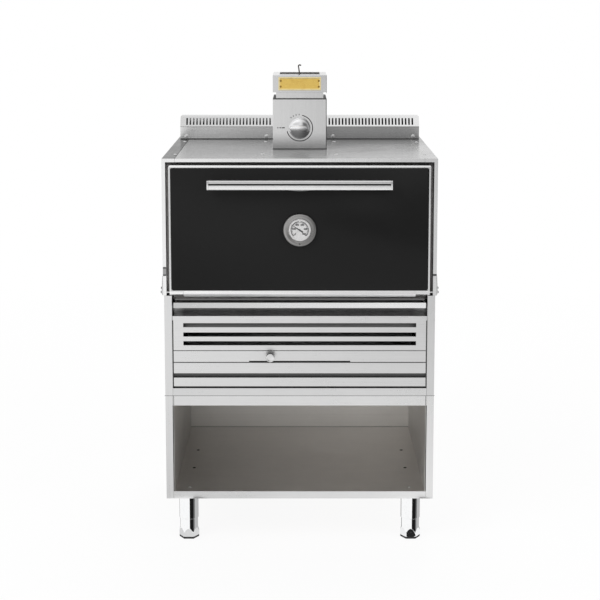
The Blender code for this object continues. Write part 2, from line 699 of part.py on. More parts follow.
def air_control():
    """The air inlet: notched fascia, port plate, sliding shutter with its tab, and knob."""
    half = PANEL_HALF_WIDTH
    channel = prism(folded([(FOLD_RETURN, FASCIA_TOP), (0, FASCIA_TOP), (0, FASCIA_BOTTOM),
                            (FOLD_RETURN, FASCIA_BOTTOM)]), "x", -half, half)
    notch = block((-AIR_SLOT_LENGTH / 2, -CUT_OVERRUN, FASCIA_BOTTOM - CUT_OVERRUN),
                  (AIR_SLOT_LENGTH / 2, FOLD_RETURN + CUT_OVERRUN, FASCIA_BOTTOM + AIR_SLOT_HEIGHT))
    part("air_fascia", "brushed_steel", channel, cuts=[notch])
    middle = (FASCIA_BOTTOM + FASCIA_TOP - AIR_PORT_HEIGHT) / 2
    plate_front = FOLD_RETURN + SEAT_GAP
    inside = BODY_HALF_WIDTH - SHEET - SEAT_GAP
    part("air_port_plate", "brushed_steel",
         pierced("y", (-inside, plate_front, FASCIA_BOTTOM),
                 (inside, plate_front + SHEET, LOUVRE_BOTTOM + SHEET),
                 port_row(PLATE_PORTS, -1, middle)))
    shutter_rear = FOLD_RETURN
    shutter_front = shutter_rear - SHEET
    low = (AIR_KNOB_X - SHUTTER_LENGTH / 2, shutter_front, FASCIA_BOTTOM + SHEET + SEAT_GAP)
    high = (AIR_KNOB_X + SHUTTER_LENGTH / 2, shutter_rear, FASCIA_TOP - SHEET - SLIDE_GAP)
    shutter = pierced("y", low, high, port_row(SHUTTER_PORTS, -1, middle))
    tab_top = FASCIA_BOTTOM + (AIR_SLOT_HEIGHT + AIR_TAB_THICKNESS) / 2
    knob_z = FASCIA_BOTTOM + AIR_KNOB_RISE
    stem = shutter_front + JOIN_OVERLAP - AIR_TAB_THICKNESS
    reach = AIR_TAB_REACH - AIR_TAB_THICKNESS
    outline = folded([(stem, middle), (stem, tab_top), (-reach, tab_top),
                      (-reach, knob_z)], AIR_TAB_THICKNESS)
    tab = prism(outline, "x", AIR_KNOB_X - AIR_TAB_WIDTH / 2, AIR_KNOB_X + AIR_TAB_WIDTH / 2)
    part("air_shutter", "brushed_steel", shutter, joins=[tab])
    radius = AIR_KNOB_DIAMETER / 2
    rim = AIR_KNOB_RIM
    neck = radius * AIR_KNOB_NECK_SHARE
    length = AIR_KNOB_REACH - AIR_TAB_REACH - SEAT_GAP
    part("air_knob", "bright_steel",
         turned("y", (AIR_KNOB_X, -AIR_KNOB_REACH, knob_z),
                [(0, radius - rim), (rim, radius), (length * AIR_KNOB_SKIRT_SHARE, radius),
                 (length * AIR_KNOB_NECK_SHARE, neck), (length, neck)]),
         smooth=True)


def crumb_tray():
    """The shallow tray under the door, drawn out by its rolled full-width lip."""
    bottom = RECESS_TOP + SHEET + SEAT_GAP
    lip_top = bottom + TRAY_LIP_HEIGHT
    reach = TRAY_LIP_REACH
    outline = folded([(0, lip_top - TRAY_RIM), (0, lip_top), (-reach, lip_top), (-reach, bottom),
                      (TRAY_DEPTH, bottom), (TRAY_DEPTH, bottom + TRAY_RIM)])
    walls = [side_block(sign, (TRAY_HALF_WIDTH - SHEET, JAMB_DEPTH, bottom),
                        (TRAY_HALF_WIDTH, TRAY_DEPTH, bottom + TRAY_RIM)) for _, sign in SIDES]
    part("crumb_tray", "brushed_steel",
         prism(outline, "x", -TRAY_HALF_WIDTH, TRAY_HALF_WIDTH), joins=walls)


def casing():
    """The covers round the oven: two sides with their borders and flanges, and the top."""
    half = CASING_HALF_WIDTH
    wall = folded([(half - BORDER, JAMB_DEPTH), (half - BORDER, 0), (half, 0), (half, DEPTH),
                   (half - REAR_FLANGE, DEPTH)])
    head = folded([(DEPTH, CASING_TOP), (0, CASING_TOP), (0, CASING_TOP - BORDER),
                   (JAMB_DEPTH, CASING_TOP - BORDER)])
    seam = half - TOP_FLANGE
    for side, sign in SIDES:
        flange = prism(head, "x", *sorted((sign * seam, sign * (half - SHEET / 2))))
        pin_hole = rod("x", (sign * (half - BORDER + SHEET / 2) - CUT_OVERRUN, HINGE_DEPTH, HINGE_Z),
                       2 * CUT_OVERRUN, HINGE_PIN_DIAMETER / 2 + HINGE_PIN_CLEARANCE, sides=PIN_SIDES)
        part(f"side_cover_{side}", "brushed_steel",
             prism(mirrored(wall, sign), "z", UPPER_BOTTOM, CASING_TOP - SHEET / 2),
             joins=[flange], cuts=[pin_hole])
    flue_front, flue_rear = flue_depths()
    part("top_cover", "brushed_steel", prism(head, "x", -seam + SEAT_GAP, seam - SEAT_GAP),
         cuts=[block((-FLUE_HALF_WIDTH - SLIDE_GAP, flue_front - SLIDE_GAP, MOUTH_TOP),
                     (FLUE_HALF_WIDTH + SLIDE_GAP, flue_rear + SLIDE_GAP, CASING_TOP + CUT_OVERRUN))])


def flue_depths():
    """Where the flue duct starts and ends along the depth."""
    return CHIMNEY_FRONT + FLUE_MARGIN, CHIMNEY_REAR - FLUE_MARGIN


def mouth_frame():
    """The steel frame round the cavity's mouth, which the door's gasket meets."""
    half = CASING_HALF_WIDTH - SHEET - SEAT_GAP
    plate = pierced("y", (-half, MOUTH_PLANE, UPPER_BOTTOM),
                    (half, MOUTH_PLANE + SHEET, CASING_TOP - SHEET - SEAT_GAP),
                    [((-MOUTH_HALF_WIDTH, MOUTH_BOTTOM), (MOUTH_HALF_WIDTH, MOUTH_TOP))])
    drip = folded([(MOUTH_PLANE + SHEET, UPPER_BOTTOM + SHEET), (MOUTH_PLANE + SHEET, DRIP_LEVEL),
                   (DRIP_DEPTH, DRIP_LEVEL)])
    inside = PANEL_HALF_WIDTH
    part("mouth_frame", "brushed_steel", plate,
         joins=[prism(drip, "x", -inside, inside)])


def cavity():
    """The cooking cavity's liner, the wool jacket round it and the flue duct on top."""
    front = LINER_FRONT
    half = MOUTH_HALF_WIDTH + LINER_THICKNESS
    rear = LINER_REAR
    low = MOUTH_BOTTOM - LINER_THICKNESS
    high = MOUTH_TOP + LINER_THICKNESS
    flue_front, flue_rear = flue_depths()
    bore = FLUE_HALF_WIDTH - SHEET
    flue_cut = ((-bore, flue_front + SHEET, MOUTH_TOP - CUT_OVERRUN),
                (bore, flue_rear - SHEET, CASING_TOP + CUT_OVERRUN))
    burner_half = FIREBOX_HALF_WIDTH - FIREBOX_WALL
    burner_front = FIREBOX_FRONT_SETBACK + FIREBOX_WALL
    burner_rear = FIREBOX_REAR - FIREBOX_WALL
    inner = block((-MOUTH_HALF_WIDTH, front - CUT_OVERRUN, MOUTH_BOTTOM),
                  (MOUTH_HALF_WIDTH, rear - LINER_THICKNESS, MOUTH_TOP))
    burner = block((-burner_half, burner_front, low - CUT_OVERRUN),
                   (burner_half, burner_rear, MOUTH_BOTTOM + CUT_OVERRUN))
    duct = block((-FLUE_HALF_WIDTH, flue_front, high - JOIN_OVERLAP),
                 (FLUE_HALF_WIDTH, flue_rear, CASING_TOP))
    part("cavity_liner", "cast_iron", block((-half, front, low), (half, rear, high)),
         joins=[duct], cuts=[inner, burner, block(*flue_cut)])
    wool = INSULATION_THICKNESS
    clear = SEAT_GAP
    part("wool_jacket", "wool",
         block((-half - clear - wool, front, low), (half + clear + wool, rear + clear + wool,
                                                    high + clear + wool)),
         cuts=[block((-half - clear, front - CUT_OVERRUN, low - CUT_OVERRUN),
                     (half + clear, rear + clear, high + clear)),
               block((-FLUE_HALF_WIDTH - clear, flue_front - clear, high),
                     (FLUE_HALF_WIDTH + clear, flue_rear + clear, CASING_TOP))])


def firebox():
    """The firebrick box under the cavity, with sloping ends and its iron grate."""
    top = MOUTH_BOTTOM - LINER_THICKNESS - SEAT_GAP
    bottom = top - FIREBOX_HEIGHT
    front = FIREBOX_FRONT_SETBACK
    rear = FIREBOX_REAR
    half = FIREBOX_HALF_WIDTH
    inner = half - FIREBOX_WALL
    middle = (front + rear) / 2
    throat = FIREBOX_THROAT_SHARE * ((rear - front) / 2 - FIREBOX_WALL)
    seat = bottom + ASH_THROAT_HEIGHT
    hopper = prism([(front + FIREBOX_WALL, top + CUT_OVERRUN), (front + FIREBOX_WALL, top),
                    (middle - throat, seat + GRATE_THICKNESS), (middle - throat, seat),
                    (middle + throat, seat), (middle + throat, seat + GRATE_THICKNESS),
                    (rear - FIREBOX_WALL, top), (rear - FIREBOX_WALL, top + CUT_OVERRUN)],
                   "x", -inner, inner)
    ledge = GRATE_LEDGE
    ash_throat = block((-inner + ledge, middle - throat + ledge, bottom - CUT_OVERRUN),
                       (inner - ledge, middle + throat - ledge, seat + JOIN_OVERLAP))
    part("firebox", "firebrick", block((-half, front, bottom), (half, rear, top)),
         cuts=[hopper, ash_throat])
    low = (-inner + SLIDE_GAP, middle - throat + SLIDE_GAP, seat + SEAT_GAP)
    high = (inner - SLIDE_GAP, middle + throat - SLIDE_GAP, seat + SEAT_GAP + GRATE_THICKNESS)
    holes = bar_gaps(low, high, GRATE_BARS, GRATE_BAR_SHARE, GRATE_THICKNESS, (middle,))
    part("charcoal_grate", "cast_iron", pierced("z", low, high, holes))


def bar_gaps(low, high, bars, bar_share, rim, crossings):
    """The openings between bars that run along Y in a rim, with cross bars at some depths."""
    pitch = (high[0] - low[0]) / (bars - 1 + bar_share)
    width = pitch * bar_share
    edges = [low[1] + rim, *[c + s * rim / 2 for c in crossings for s in (-1, 1)], high[1] - rim]
    return [((low[0] + i * pitch + width, edges[k]), (low[0] + (i + 1) * pitch, edges[k + 1]))
            for i in range(bars - 1) for k in range(0, len(edges), 2)]


def grill_racks():
    """Two grill racks on a two-level runner at each side of the cavity."""
    wall = MOUTH_HALF_WIDTH - SEAT_GAP
    web = wall - RACK_RUNNER_THICKNESS
    tip = wall - RACK_RUNNER_WIDTH
    front = RACK_FRONT
    rear = RACK_REAR
    mouth_height = MOUTH_TOP - MOUTH_BOTTOM
    outline = [(wall, MOUTH_BOTTOM + SEAT_GAP)]
    levels = [MOUTH_BOTTOM + share * mouth_height for share in RACK_LEVEL_SHARES]
    top = levels[-1] + RACK_RUNNER_HEAD
    outline.append((wall, top))
    outline.append((web, top))
    for level in reversed(levels):
        outline += [(web, level), (tip, level), (tip, level - RACK_RUNNER_THICKNESS),
                    (web, level - RACK_RUNNER_THICKNESS)]
    outline.append((web, MOUTH_BOTTOM + SEAT_GAP))
    for side, sign in SIDES:
        part(f"rack_runner_{side}", "brushed_steel",
             prism(mirrored(outline, sign), "y", front, rear))
    half = web - RACK_SIDE_GAP
    for name, level in zip(("lower", "upper"), levels):
        low = (-half, front, level + SEAT_GAP)
        high = (half, rear, level + SEAT_GAP + RACK_BAR_HEIGHT)
        share = RACK_BAR_WIDTH * (RACK_BARS - 1) / (2 * half - RACK_BAR_WIDTH)
        holes = bar_gaps(low, high, RACK_BARS, share, RACK_BAR_WIDTH, ((low[1] + high[1]) / 2,))
        part(f"grill_rack_{name}", "bright_steel", pierced("z", low, high, holes))


def chimney():
    """The damper housing, the spark trap on its neck, the trap's filter and name blank."""
    half = CHIMNEY_WIDTH / 2
    front = CHIMNEY_FRONT
    rear = CHIMNEY_REAR
    wall = HOUSING_WALL
    neck = half - NECK_INSET
    neck_front = front + NECK_INSET
    neck_rear = rear - NECK_INSET
    shaft_hole = rod("y", (0, front - CUT_OVERRUN, DAMPER_Z), CHIMNEY_DEPTH + 2 * CUT_OVERRUN,
                     DAMPER_SHAFT_DIAMETER / 2 + DAMPER_SHAFT_CLEARANCE, sides=PIN_SIDES)
    part("damper_housing", "brushed_steel",
         block((-half, front, CHIMNEY_BOTTOM), (half, rear, HOUSING_TOP)),
         cuts=[block((-half + wall, front + wall, CHIMNEY_BOTTOM - CUT_OVERRUN),
                     (half - wall, rear - wall, HOUSING_TOP - wall)),
               block((-neck + NECK_LEDGE, neck_front + NECK_LEDGE, CHIMNEY_BOTTOM),
                     (neck - NECK_LEDGE, neck_rear - NECK_LEDGE, HOUSING_TOP + CUT_OVERRUN)),
               shaft_hole])
    mouth_front = front + TRAP_MOUTH_FRONT
    mouth_rear = rear - TRAP_MOUTH_REAR
    floor = TRAP_BOTTOM + TRAP_WALL
    trap = block((-half, front, TRAP_BOTTOM), (half, rear, TRAP_TOP))
    collar = block((-neck, neck_front, HOUSING_TOP + SEAT_GAP),
                   (neck, neck_rear, TRAP_BOTTOM + JOIN_OVERLAP))
    part("spark_trap", "brushed_steel", trap, joins=[collar], cuts=[
        block((-half + TRAP_WALL, front + TRAP_WALL, floor),
              (half - TRAP_WALL, rear - TRAP_WALL, TRAP_TOP - TRAP_WALL)),
        block((-TRAP_MOUTH_HALF_WIDTH, mouth_front, floor + TRAP_WALL),
              (TRAP_MOUTH_HALF_WIDTH, mouth_rear, TRAP_TOP + CUT_OVERRUN)),
        block((-neck + TRAP_WALL, neck_front + TRAP_WALL, HOUSING_TOP - CUT_OVERRUN),
              (neck - TRAP_WALL, neck_rear - TRAP_WALL, TRAP_BOTTOM)),
        block((-TRAP_MOUTH_HALF_WIDTH + TRAP_LEDGE, mouth_front + TRAP_LEDGE,
               TRAP_BOTTOM - TRAP_WALL),
              (TRAP_MOUTH_HALF_WIDTH - TRAP_LEDGE, neck_rear - TRAP_WALL, floor + TRAP_WALL))])
    spark_filter(mouth_front, mouth_rear, floor + SEAT_GAP)
    blank_z = (TRAP_BOTTOM + TRAP_TOP) / 2
    part("name_blank", "brass",
         block((-NAME_BLANK_WIDTH / 2, front - SEAT_GAP - NAME_BLANK_THICKNESS,
                blank_z - NAME_BLANK_HEIGHT / 2),
               (NAME_BLANK_WIDTH / 2, front - SEAT_GAP, blank_z + NAME_BLANK_HEIGHT / 2)))


def spark_filter(front, rear, bottom):
    """The slotted filter block that lifts out of the trap, and its wire hook."""
    low = (-TRAP_MOUTH_HALF_WIDTH + SLIDE_GAP, front + SLIDE_GAP, bottom)
    high = (TRAP_MOUTH_HALF_WIDTH - SLIDE_GAP, rear - SLIDE_GAP, bottom + FILTER_HEIGHT)
    holes = bar_gaps(low, high, FILTER_SLOTS + 1, FILTER_SLOT_SHARE, FILTER_RIM,
                     ((low[1] + high[1]) / 2,))
    middle = (front + rear) / 2
    foot = high[2] - HOOK_WIRE / 2
    crown = TRAP_TOP + HOOK_HEIGHT - HOOK_WIRE / 2 - HOOK_BEND
    path = [(-HOOK_BEND * swing, foot + (crown - foot) * climb)
            for swing, climb in HOOK_STEM_SHARES]
    for step in range(HOOK_STEPS + 1):
        turn = math.radians(HOOK_SWEEP) * step / HOOK_STEPS
        path.append((-HOOK_BEND * math.cos(turn), crown + HOOK_BEND * math.sin(turn)))
    part("spark_filter", "bright_steel", pierced("z", low, high, holes),
         joins=[wire(path, middle, HOOK_WIRE / 2)])


def wire(path, depth, radius, sides=WIRE_SIDES):
    """A round wire along a path of (x, z) points at one depth, square to its ends."""
    bm = bmesh.new()
    rings = []
    for i, (x, z) in enumerate(path):
        before = path[max(i - 1, 0)]
        after = path[min(i + 1, len(path) - 1)]
        length = math.hypot(after[0] - before[0], after[1] - before[1])
        across = ((after[1] - before[1]) / length, (before[0] - after[0]) / length)
        turns = [2 * math.pi * k / sides for k in range(sides)]
        rings.append([bm.verts.new((x + across[0] * radius * math.cos(t),
                                    depth + radius * math.sin(t),
                                    z + across[1] * radius * math.cos(t))) for t in turns])
    bm.faces.new(rings[0])
    bm.faces.new(rings[-1])
    for lower, upper in zip(rings, rings[1:]):
        for k in range(sides):
            j = (k + 1) % sides
            bm.faces.new((lower[k], lower[j], upper[j], upper[k]))
    return bm


def damper():
    """The butterfly flap on its shaft across the housing, and the knob that turns it."""
    front = CHIMNEY_FRONT
    shaft_front = front - DAMPER_SHAFT_STUB
    shaft = rod("y", (0, shaft_front, DAMPER_Z), CHIMNEY_DEPTH + 2 * DAMPER_SHAFT_STUB,
                DAMPER_SHAFT_DIAMETER / 2, sides=PIN_SIDES)
    flap_inset = HOUSING_WALL + DAMPER_FLAP_MARGIN
    flap = block((-DAMPER_FLAP_HALF_WIDTH, front + flap_inset, DAMPER_Z - DAMPER_FLAP_THICKNESS / 2),
                 (DAMPER_FLAP_HALF_WIDTH, front + CHIMNEY_DEPTH - flap_inset,
                  DAMPER_Z + DAMPER_FLAP_THICKNESS / 2))
    centre = (0, front, DAMPER_Z)
    part("damper_flap", "cast_iron", shaft, joins=[flap], origin=centre, smooth=True)
    radius = DAMPER_KNOB_DIAMETER / 2
    skirt = DAMPER_SKIRT_THICKNESS
    face = shaft_front - SEAT_GAP - skirt
    bevel = DAMPER_KNOB_BEVEL
    disc = turned("y", (0, face, DAMPER_Z), [(0, radius - bevel), (bevel, radius), (skirt, radius)])
    grip_front = face + skirt - DAMPER_KNOB_REACH
    grip = block((-radius + bevel, grip_front, DAMPER_Z - DAMPER_GRIP_WIDTH / 2),
                 (radius - skirt, face + JOIN_OVERLAP, DAMPER_Z + DAMPER_GRIP_WIDTH / 2))
    hub_front = grip_front + DAMPER_HUB_SETBACK
    hub = rod("y", (0, hub_front, DAMPER_Z), face - hub_front + JOIN_OVERLAP,
              radius * DAMPER_HUB_SHARE)
    part("damper_knob", "chrome", disc, joins=[hub, grip], origin=centre, smooth=True)


def rear_vents():
    """The two louvred vent rails at the back of the top, left and right of the chimney."""
    front = VENT_FRONT
    level = CASING_TOP + SEAT_GAP
    shoulder = level + VENT_PLATE_HEIGHT
    top = shoulder + VENT_BAND_RISE
    shelf_y = front + VENT_BAND_LEAN
    rear = VENT_REAR
    path = [(rear, level), (rear, top), (shelf_y, top), (front, shoulder), (front, level)]
    outer = VENT_OUTER_X
    for side, sign in SIDES:
        span = sorted((sign * VENT_INNER_X, sign * outer))
        ends = [prism(path, "x", *sorted((x, x - sign * SHEET))) for x in
                (sign * outer, sign * (VENT_INNER_X + SHEET))]
        part(f"rear_vent_{side}", "brushed_steel", prism(folded(path), "x", *span),
             joins=ends, cuts=[vent_slots(sign, shoulder, outer)])


def vent_slots(sign, shoulder, outer):
    """One cutter for all the upright slots in a rail's leaning band."""
    bm = bmesh.new()
    low = shoulder + VENT_SLOT_MARGIN
    high = shoulder + VENT_BAND_RISE - VENT_SLOT_MARGIN
    span = outer - VENT_SLOT_FIRST - VENT_INNER_X - VENT_SLOT_LAST
    for i in range(int(span / VENT_SLOT_PITCH) + 1):
        x = sign * (outer - VENT_SLOT_FIRST - i * VENT_SLOT_PITCH)
        slot = block((x - VENT_SLOT_WIDTH / 2, VENT_FRONT - CUT_OVERRUN, low),
                     (x + VENT_SLOT_WIDTH / 2, VENT_FRONT + VENT_BAND_LEAN + CUT_OVERRUN, high))
        mesh = bpy.data.meshes.new("slot")
        slot.to_mesh(mesh)
        slot.free()
        bm.from_mesh(mesh)
        bpy.data.meshes.remove(mesh)
    return bm


def door():
    """The drop-down door: frame, glass, filling, inner skin with its plug, and gasket."""
    half = DOOR_HALF_WIDTH
    hinge = (0, HINGE_DEPTH, HINGE_Z)
    stem = STEM_DIAMETER / 2 + STEM_CLEARANCE
    bore = (0, DOOR_FACE - CUT_OVERRUN, THERMOMETER_Z)
    glass_x = half - DOOR_RIM
    glass_low = DOOR_BOTTOM + DOOR_BOTTOM_RIM
    glass_high = DOOR_TOP - DOOR_TOP_RIM
    glass_back = DOOR_FACE + GLASS_THICKNESS
    pocket_x = glass_x - GLASS_LEDGE
    pocket_low = glass_low + GLASS_LEDGE
    pocket_high = glass_high - GLASS_LEDGE
    leaf = half - HINGE_LEAF_WIDTH
    chamfer = prism([(DOOR_FACE - CUT_OVERRUN, DOOR_BOTTOM - CUT_OVERRUN),
                     (DOOR_FACE - CUT_OVERRUN, DOOR_BOTTOM + DOOR_CHAMFER_HEIGHT),
                     (DOOR_FACE, DOOR_BOTTOM + DOOR_CHAMFER_HEIGHT),
                     (DOOR_FACE + DOOR_CHAMFER_DEPTH, DOOR_BOTTOM),
                     (DOOR_FACE + DOOR_CHAMFER_DEPTH, DOOR_BOTTOM - CUT_OVERRUN)],
                    "x", -leaf - CUT_OVERRUN, leaf + CUT_OVERRUN)
    notches = [side_block(sign, (leaf, DOOR_FACE - CUT_OVERRUN, DOOR_BOTTOM - CUT_OVERRUN),
                          (half + CUT_OVERRUN, DOOR_BACK + CUT_OVERRUN, LEAF_TOP + SEAT_GAP))
               for _, sign in SIDES]
    part("door_frame", "bright_steel",
         block((-half, DOOR_FACE, DOOR_BOTTOM), (half, DOOR_BACK, DOOR_TOP)), origin=hinge, cuts=[
             block((-glass_x, DOOR_FACE - CUT_OVERRUN, glass_low), (glass_x, glass_back, glass_high)),
             block((-pocket_x, DOOR_FACE, pocket_low), (pocket_x, DOOR_BACK + CUT_OVERRUN, pocket_high)),
             chamfer, *notches])
    gap = SEAT_GAP
    part("door_glass", "black_glass",
         block((-glass_x + gap, DOOR_FACE + gap, glass_low + gap),
               (glass_x - gap, glass_back - gap, glass_high - gap)), origin=hinge,
         cuts=[rod("y", bore, DOOR_THICKNESS, stem, sides=PIN_SIDES)])
    part("door_filling", "wool",
         block((-pocket_x + gap, glass_back + gap, pocket_low + gap),
               (pocket_x - gap, DOOR_BACK - gap, pocket_high - gap)), origin=hinge,
         cuts=[rod("y", bore, DOOR_THICKNESS + 2 * CUT_OVERRUN, stem, sides=PIN_SIDES)])
    door_inner_skin(hinge, bore, stem)
    bevel = HINGE_LEAF_CHAMFER
    outline = [(DOOR_BACK, LEAF_BOTTOM), (DOOR_BACK, LEAF_TOP), (DOOR_FACE, LEAF_TOP),
               (DOOR_FACE, LEAF_BOTTOM + bevel), (DOOR_FACE + bevel, LEAF_BOTTOM)]
    for side, sign in SIDES:
        pin = rod("x", (min(sign * (half - JOIN_OVERLAP), sign * (half + HINGE_PIN_REACH)),
                        HINGE_DEPTH, HINGE_Z), HINGE_PIN_REACH + JOIN_OVERLAP,
                  HINGE_PIN_DIAMETER / 2, sides=PIN_SIDES)
        part(f"hinge_leaf_{side}", "bright_steel",
             prism(outline, "x", *sorted((sign * (leaf + SEAT_GAP), sign * half))),
             joins=[pin], origin=hinge)


def door_inner_skin(hinge, bore, stem):
    """The inner skin with the hollow plug that enters the mouth, and the rope gasket."""
    half = DOOR_HALF_WIDTH - INNER_SKIN_INSET
    front = DOOR_BACK + SEAT_GAP
    plug_x = MOUTH_HALF_WIDTH - PLUG_CLEARANCE
    plug_low = MOUTH_BOTTOM + PLUG_CLEARANCE
    plug_high = MOUTH_TOP - PLUG_CLEARANCE
    rear = front + PLUG_DEPTH
    part("door_inner_skin", "brushed_steel",
         block((-half, front, DOOR_BOTTOM + DOOR_CHAMFER_HEIGHT),
               (half, front + SHEET, DOOR_TOP - INNER_SKIN_INSET)), origin=hinge,
         joins=[block((-plug_x, front + SHEET / 2, plug_low), (plug_x, rear, plug_high))],
         cuts=[block((-plug_x + SHEET, front - CUT_OVERRUN, plug_low + SHEET),
                     (plug_x - SHEET, rear - SHEET, plug_high - SHEET)),
               rod("y", bore, rear + 2 * CUT_OVERRUN - DOOR_FACE, stem, sides=PIN_SIDES)])
    inner = MOUTH_HALF_WIDTH + GASKET_INSET
    outer = inner + GASKET_WIDTH
    part("door_gasket", "gasket_rope",
         pierced("y", (-outer, front + SHEET + SEAT_GAP, MOUTH_BOTTOM - GASKET_INSET - GASKET_WIDTH),
                 (outer, MOUTH_PLANE - SEAT_GAP, MOUTH_TOP + GASKET_INSET + GASKET_WIDTH),
                 [((-inner, MOUTH_BOTTOM - GASKET_INSET), (inner, MOUTH_TOP + GASKET_INSET))]),
         origin=hinge)


def door_handle():
    """The grooved pull bar on its end posts, and the bracket behind its middle."""
    half = HANDLE_HALF_LENGTH
    top = HANDLE_Z + HANDLE_HEIGHT / 2
    bottom = HANDLE_Z - HANDLE_HEIGHT / 2
    rear = -HANDLE_REACH + HANDLE_DEPTH
    groove_top = top - HANDLE_GROOVE_DROP
    inner = half - HANDLE_CAP
    seat = DOOR_FACE
    hinge = (0, HINGE_DEPTH, HINGE_Z)
    hollow_front = -HANDLE_REACH + HANDLE_GROOVE_DEPTH + HANDLE_WALL
    posts = []
    for _, sign in SIDES:
        x = half - HANDLE_POST_INSET
        posts.append(side_block(sign, (x - HANDLE_POST_WIDTH, hollow_front - JOIN_OVERLAP,
                                       HANDLE_Z - HANDLE_POST_HEIGHT / 2),
                                (x, seat, HANDLE_Z + HANDLE_POST_HEIGHT / 2)))
    wall = HANDLE_WALL
    channel = [(-HANDLE_REACH, bottom), (rear, bottom), (rear, bottom + wall),
               (hollow_front, bottom + wall), (hollow_front, top - wall), (rear, top - wall),
               (rear, top), (-HANDLE_REACH, top)]
    bar = prism(channel, "x", -inner - JOIN_OVERLAP, inner + JOIN_OVERLAP)
    caps = [side_block(sign, (inner, -HANDLE_REACH, bottom), (half, rear, top))
            for _, sign in SIDES]
    groove = block((-inner, -HANDLE_REACH - CUT_OVERRUN, groove_top - HANDLE_GROOVE_HEIGHT),
                   (inner, -HANDLE_REACH + HANDLE_GROOVE_DEPTH, groove_top))
    width = BRACKET_WIDTH / 2
    low = HANDLE_Z - BRACKET_HEIGHT / 2
    turns = [math.pi * (1 + k / BRACKET_STEPS) for k in range(BRACKET_STEPS + 1)]
    arc = [(width * math.cos(t), low + BRACKET_SAG * math.sin(t)) for t in turns]
    high = low + BRACKET_HEIGHT - HANDLE_WALL
    bracket = prism([(-width, high), *arc, (width, high)], "y", hollow_front - JOIN_OVERLAP, seat)
    part("door_handle", "bright_steel", bar, joins=[*caps, *posts, bracket],
         cuts=[groove], origin=hinge)


def hinge_covers():
    """Pressed covers over the door hinges, outside the casing's lower front corners."""
    for side, sign in SIDES:
        inner = CASING_HALF_WIDTH + SEAT_GAP
        outer = inner + HINGE_COVER_THICKNESS
        rear = HINGE_COVER_LENGTH
        slope = HINGE_COVER_SLOPE
        bottom = UPPER_BOTTOM
        top = bottom + HINGE_COVER_HEIGHT
        outline = [(inner, bottom), (outer, bottom + slope),
                   (inner + HINGE_COVER_TOP_THICKNESS, top), (inner, top)]
        shell = prism(mirrored(outline, sign), "y", 0, rear)
        hollow = prism(mirrored([(inner - CUT_OVERRUN, bottom + slope),
                                 (outer - SHEET, bottom + slope),
                                 (inner - CUT_OVERRUN, top - slope)], sign),
                       "y", SHEET, rear - SHEET)
        part(f"hinge_cover_{side}", "bright_steel", shell, cuts=[hollow])


def thermometer():
    """The dial thermometer through the door: case with probe, dial, needle and lens."""
    centre = (0, DOOR_FACE, THERMOMETER_Z)
    front = DOOR_FACE - BEZEL_DEPTH
    dial_radius = DIAL_DIAMETER / 2
    bezel_radius = BEZEL_DIAMETER / 2
    stem_radius = STEM_DIAMETER / 2
    bore = dial_radius + SEAT_GAP
    part("thermometer_case", "bright_steel", turned("y", (0, front, THERMOMETER_Z), [
        (DIAL_RECESS, bore), (0, bore), (0, bezel_radius - BEZEL_CHAMFER),
        (BEZEL_CHAMFER, bezel_radius), (BEZEL_DEPTH, bezel_radius), (BEZEL_DEPTH, stem_radius),
        (BEZEL_DEPTH + PROBE_LENGTH, stem_radius)]),
        origin=centre, smooth=True)
    dial_back = front + DIAL_RECESS - SEAT_GAP
    dial_front = dial_back - DIAL_THICKNESS
    part("thermometer_dial", "white_dial",
         rod("y", (0, dial_front, THERMOMETER_Z), DIAL_THICKNESS, dial_radius),
         origin=centre, smooth=True)
    needle_back = dial_front - SEAT_GAP
    needle_front = needle_back - NEEDLE_THICKNESS
    hub = rod("y", (0, needle_front, THERMOMETER_Z), NEEDLE_THICKNESS, NEEDLE_HUB_DIAMETER / 2,
              sides=PIN_SIDES)
    blade = prism([(-NEEDLE_TAIL, -NEEDLE_WIDTH / 2), (-NEEDLE_TAIL, NEEDLE_WIDTH / 2),
                   (NEEDLE_LENGTH, NEEDLE_TIP_WIDTH / 2), (NEEDLE_LENGTH, -NEEDLE_TIP_WIDTH / 2)],
                  "y", needle_front, needle_back)
    turn = Matrix.Rotation(math.radians(-NEEDLE_REST_ANGLE), 4, "Y")
    bmesh.ops.transform(blade, verts=blade.verts, matrix=turn)
    bmesh.ops.translate(blade, verts=blade.verts, vec=(0, 0, THERMOMETER_Z))
    part("thermometer_needle", "black_metal", hub, joins=[blade],
         origin=(0, needle_back, THERMOMETER_Z), smooth=True)
    part("thermometer_lens", "clear_glass",
         rod("y", (0, front + LENS_THICKNESS / 2, THERMOMETER_Z), LENS_THICKNESS, dial_radius),
         origin=centre, smooth=True)


def main():
    """Build the whole oven under one empty that centres it on the origin."""
    clear_scene()
    assembly = bpy.data.objects.new(ASSEMBLY_NAME, None)
    assembly.location = (0, FRONT_PLANE, 0)
    bpy.context.scene.collection.objects.link(assembly)
    base_cabinet()
    legs()
    lower_body()
    ash_drawer()
    air_control()
    crumb_tray()
    casing()
    mouth_frame()
    cavity()
    firebox()
    grill_racks()
    chimney()
    damper()
    rear_vents()
    door()
    door_handle()
    hinge_covers()
    thermometer()


main()
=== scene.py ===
"""A charcoal oven on its open base cabinet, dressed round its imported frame."""

from __future__ import annotations

import json
import logging
import math
from collections.abc import Callable, Iterable, Sequence
from dataclasses import dataclass
from enum import Enum

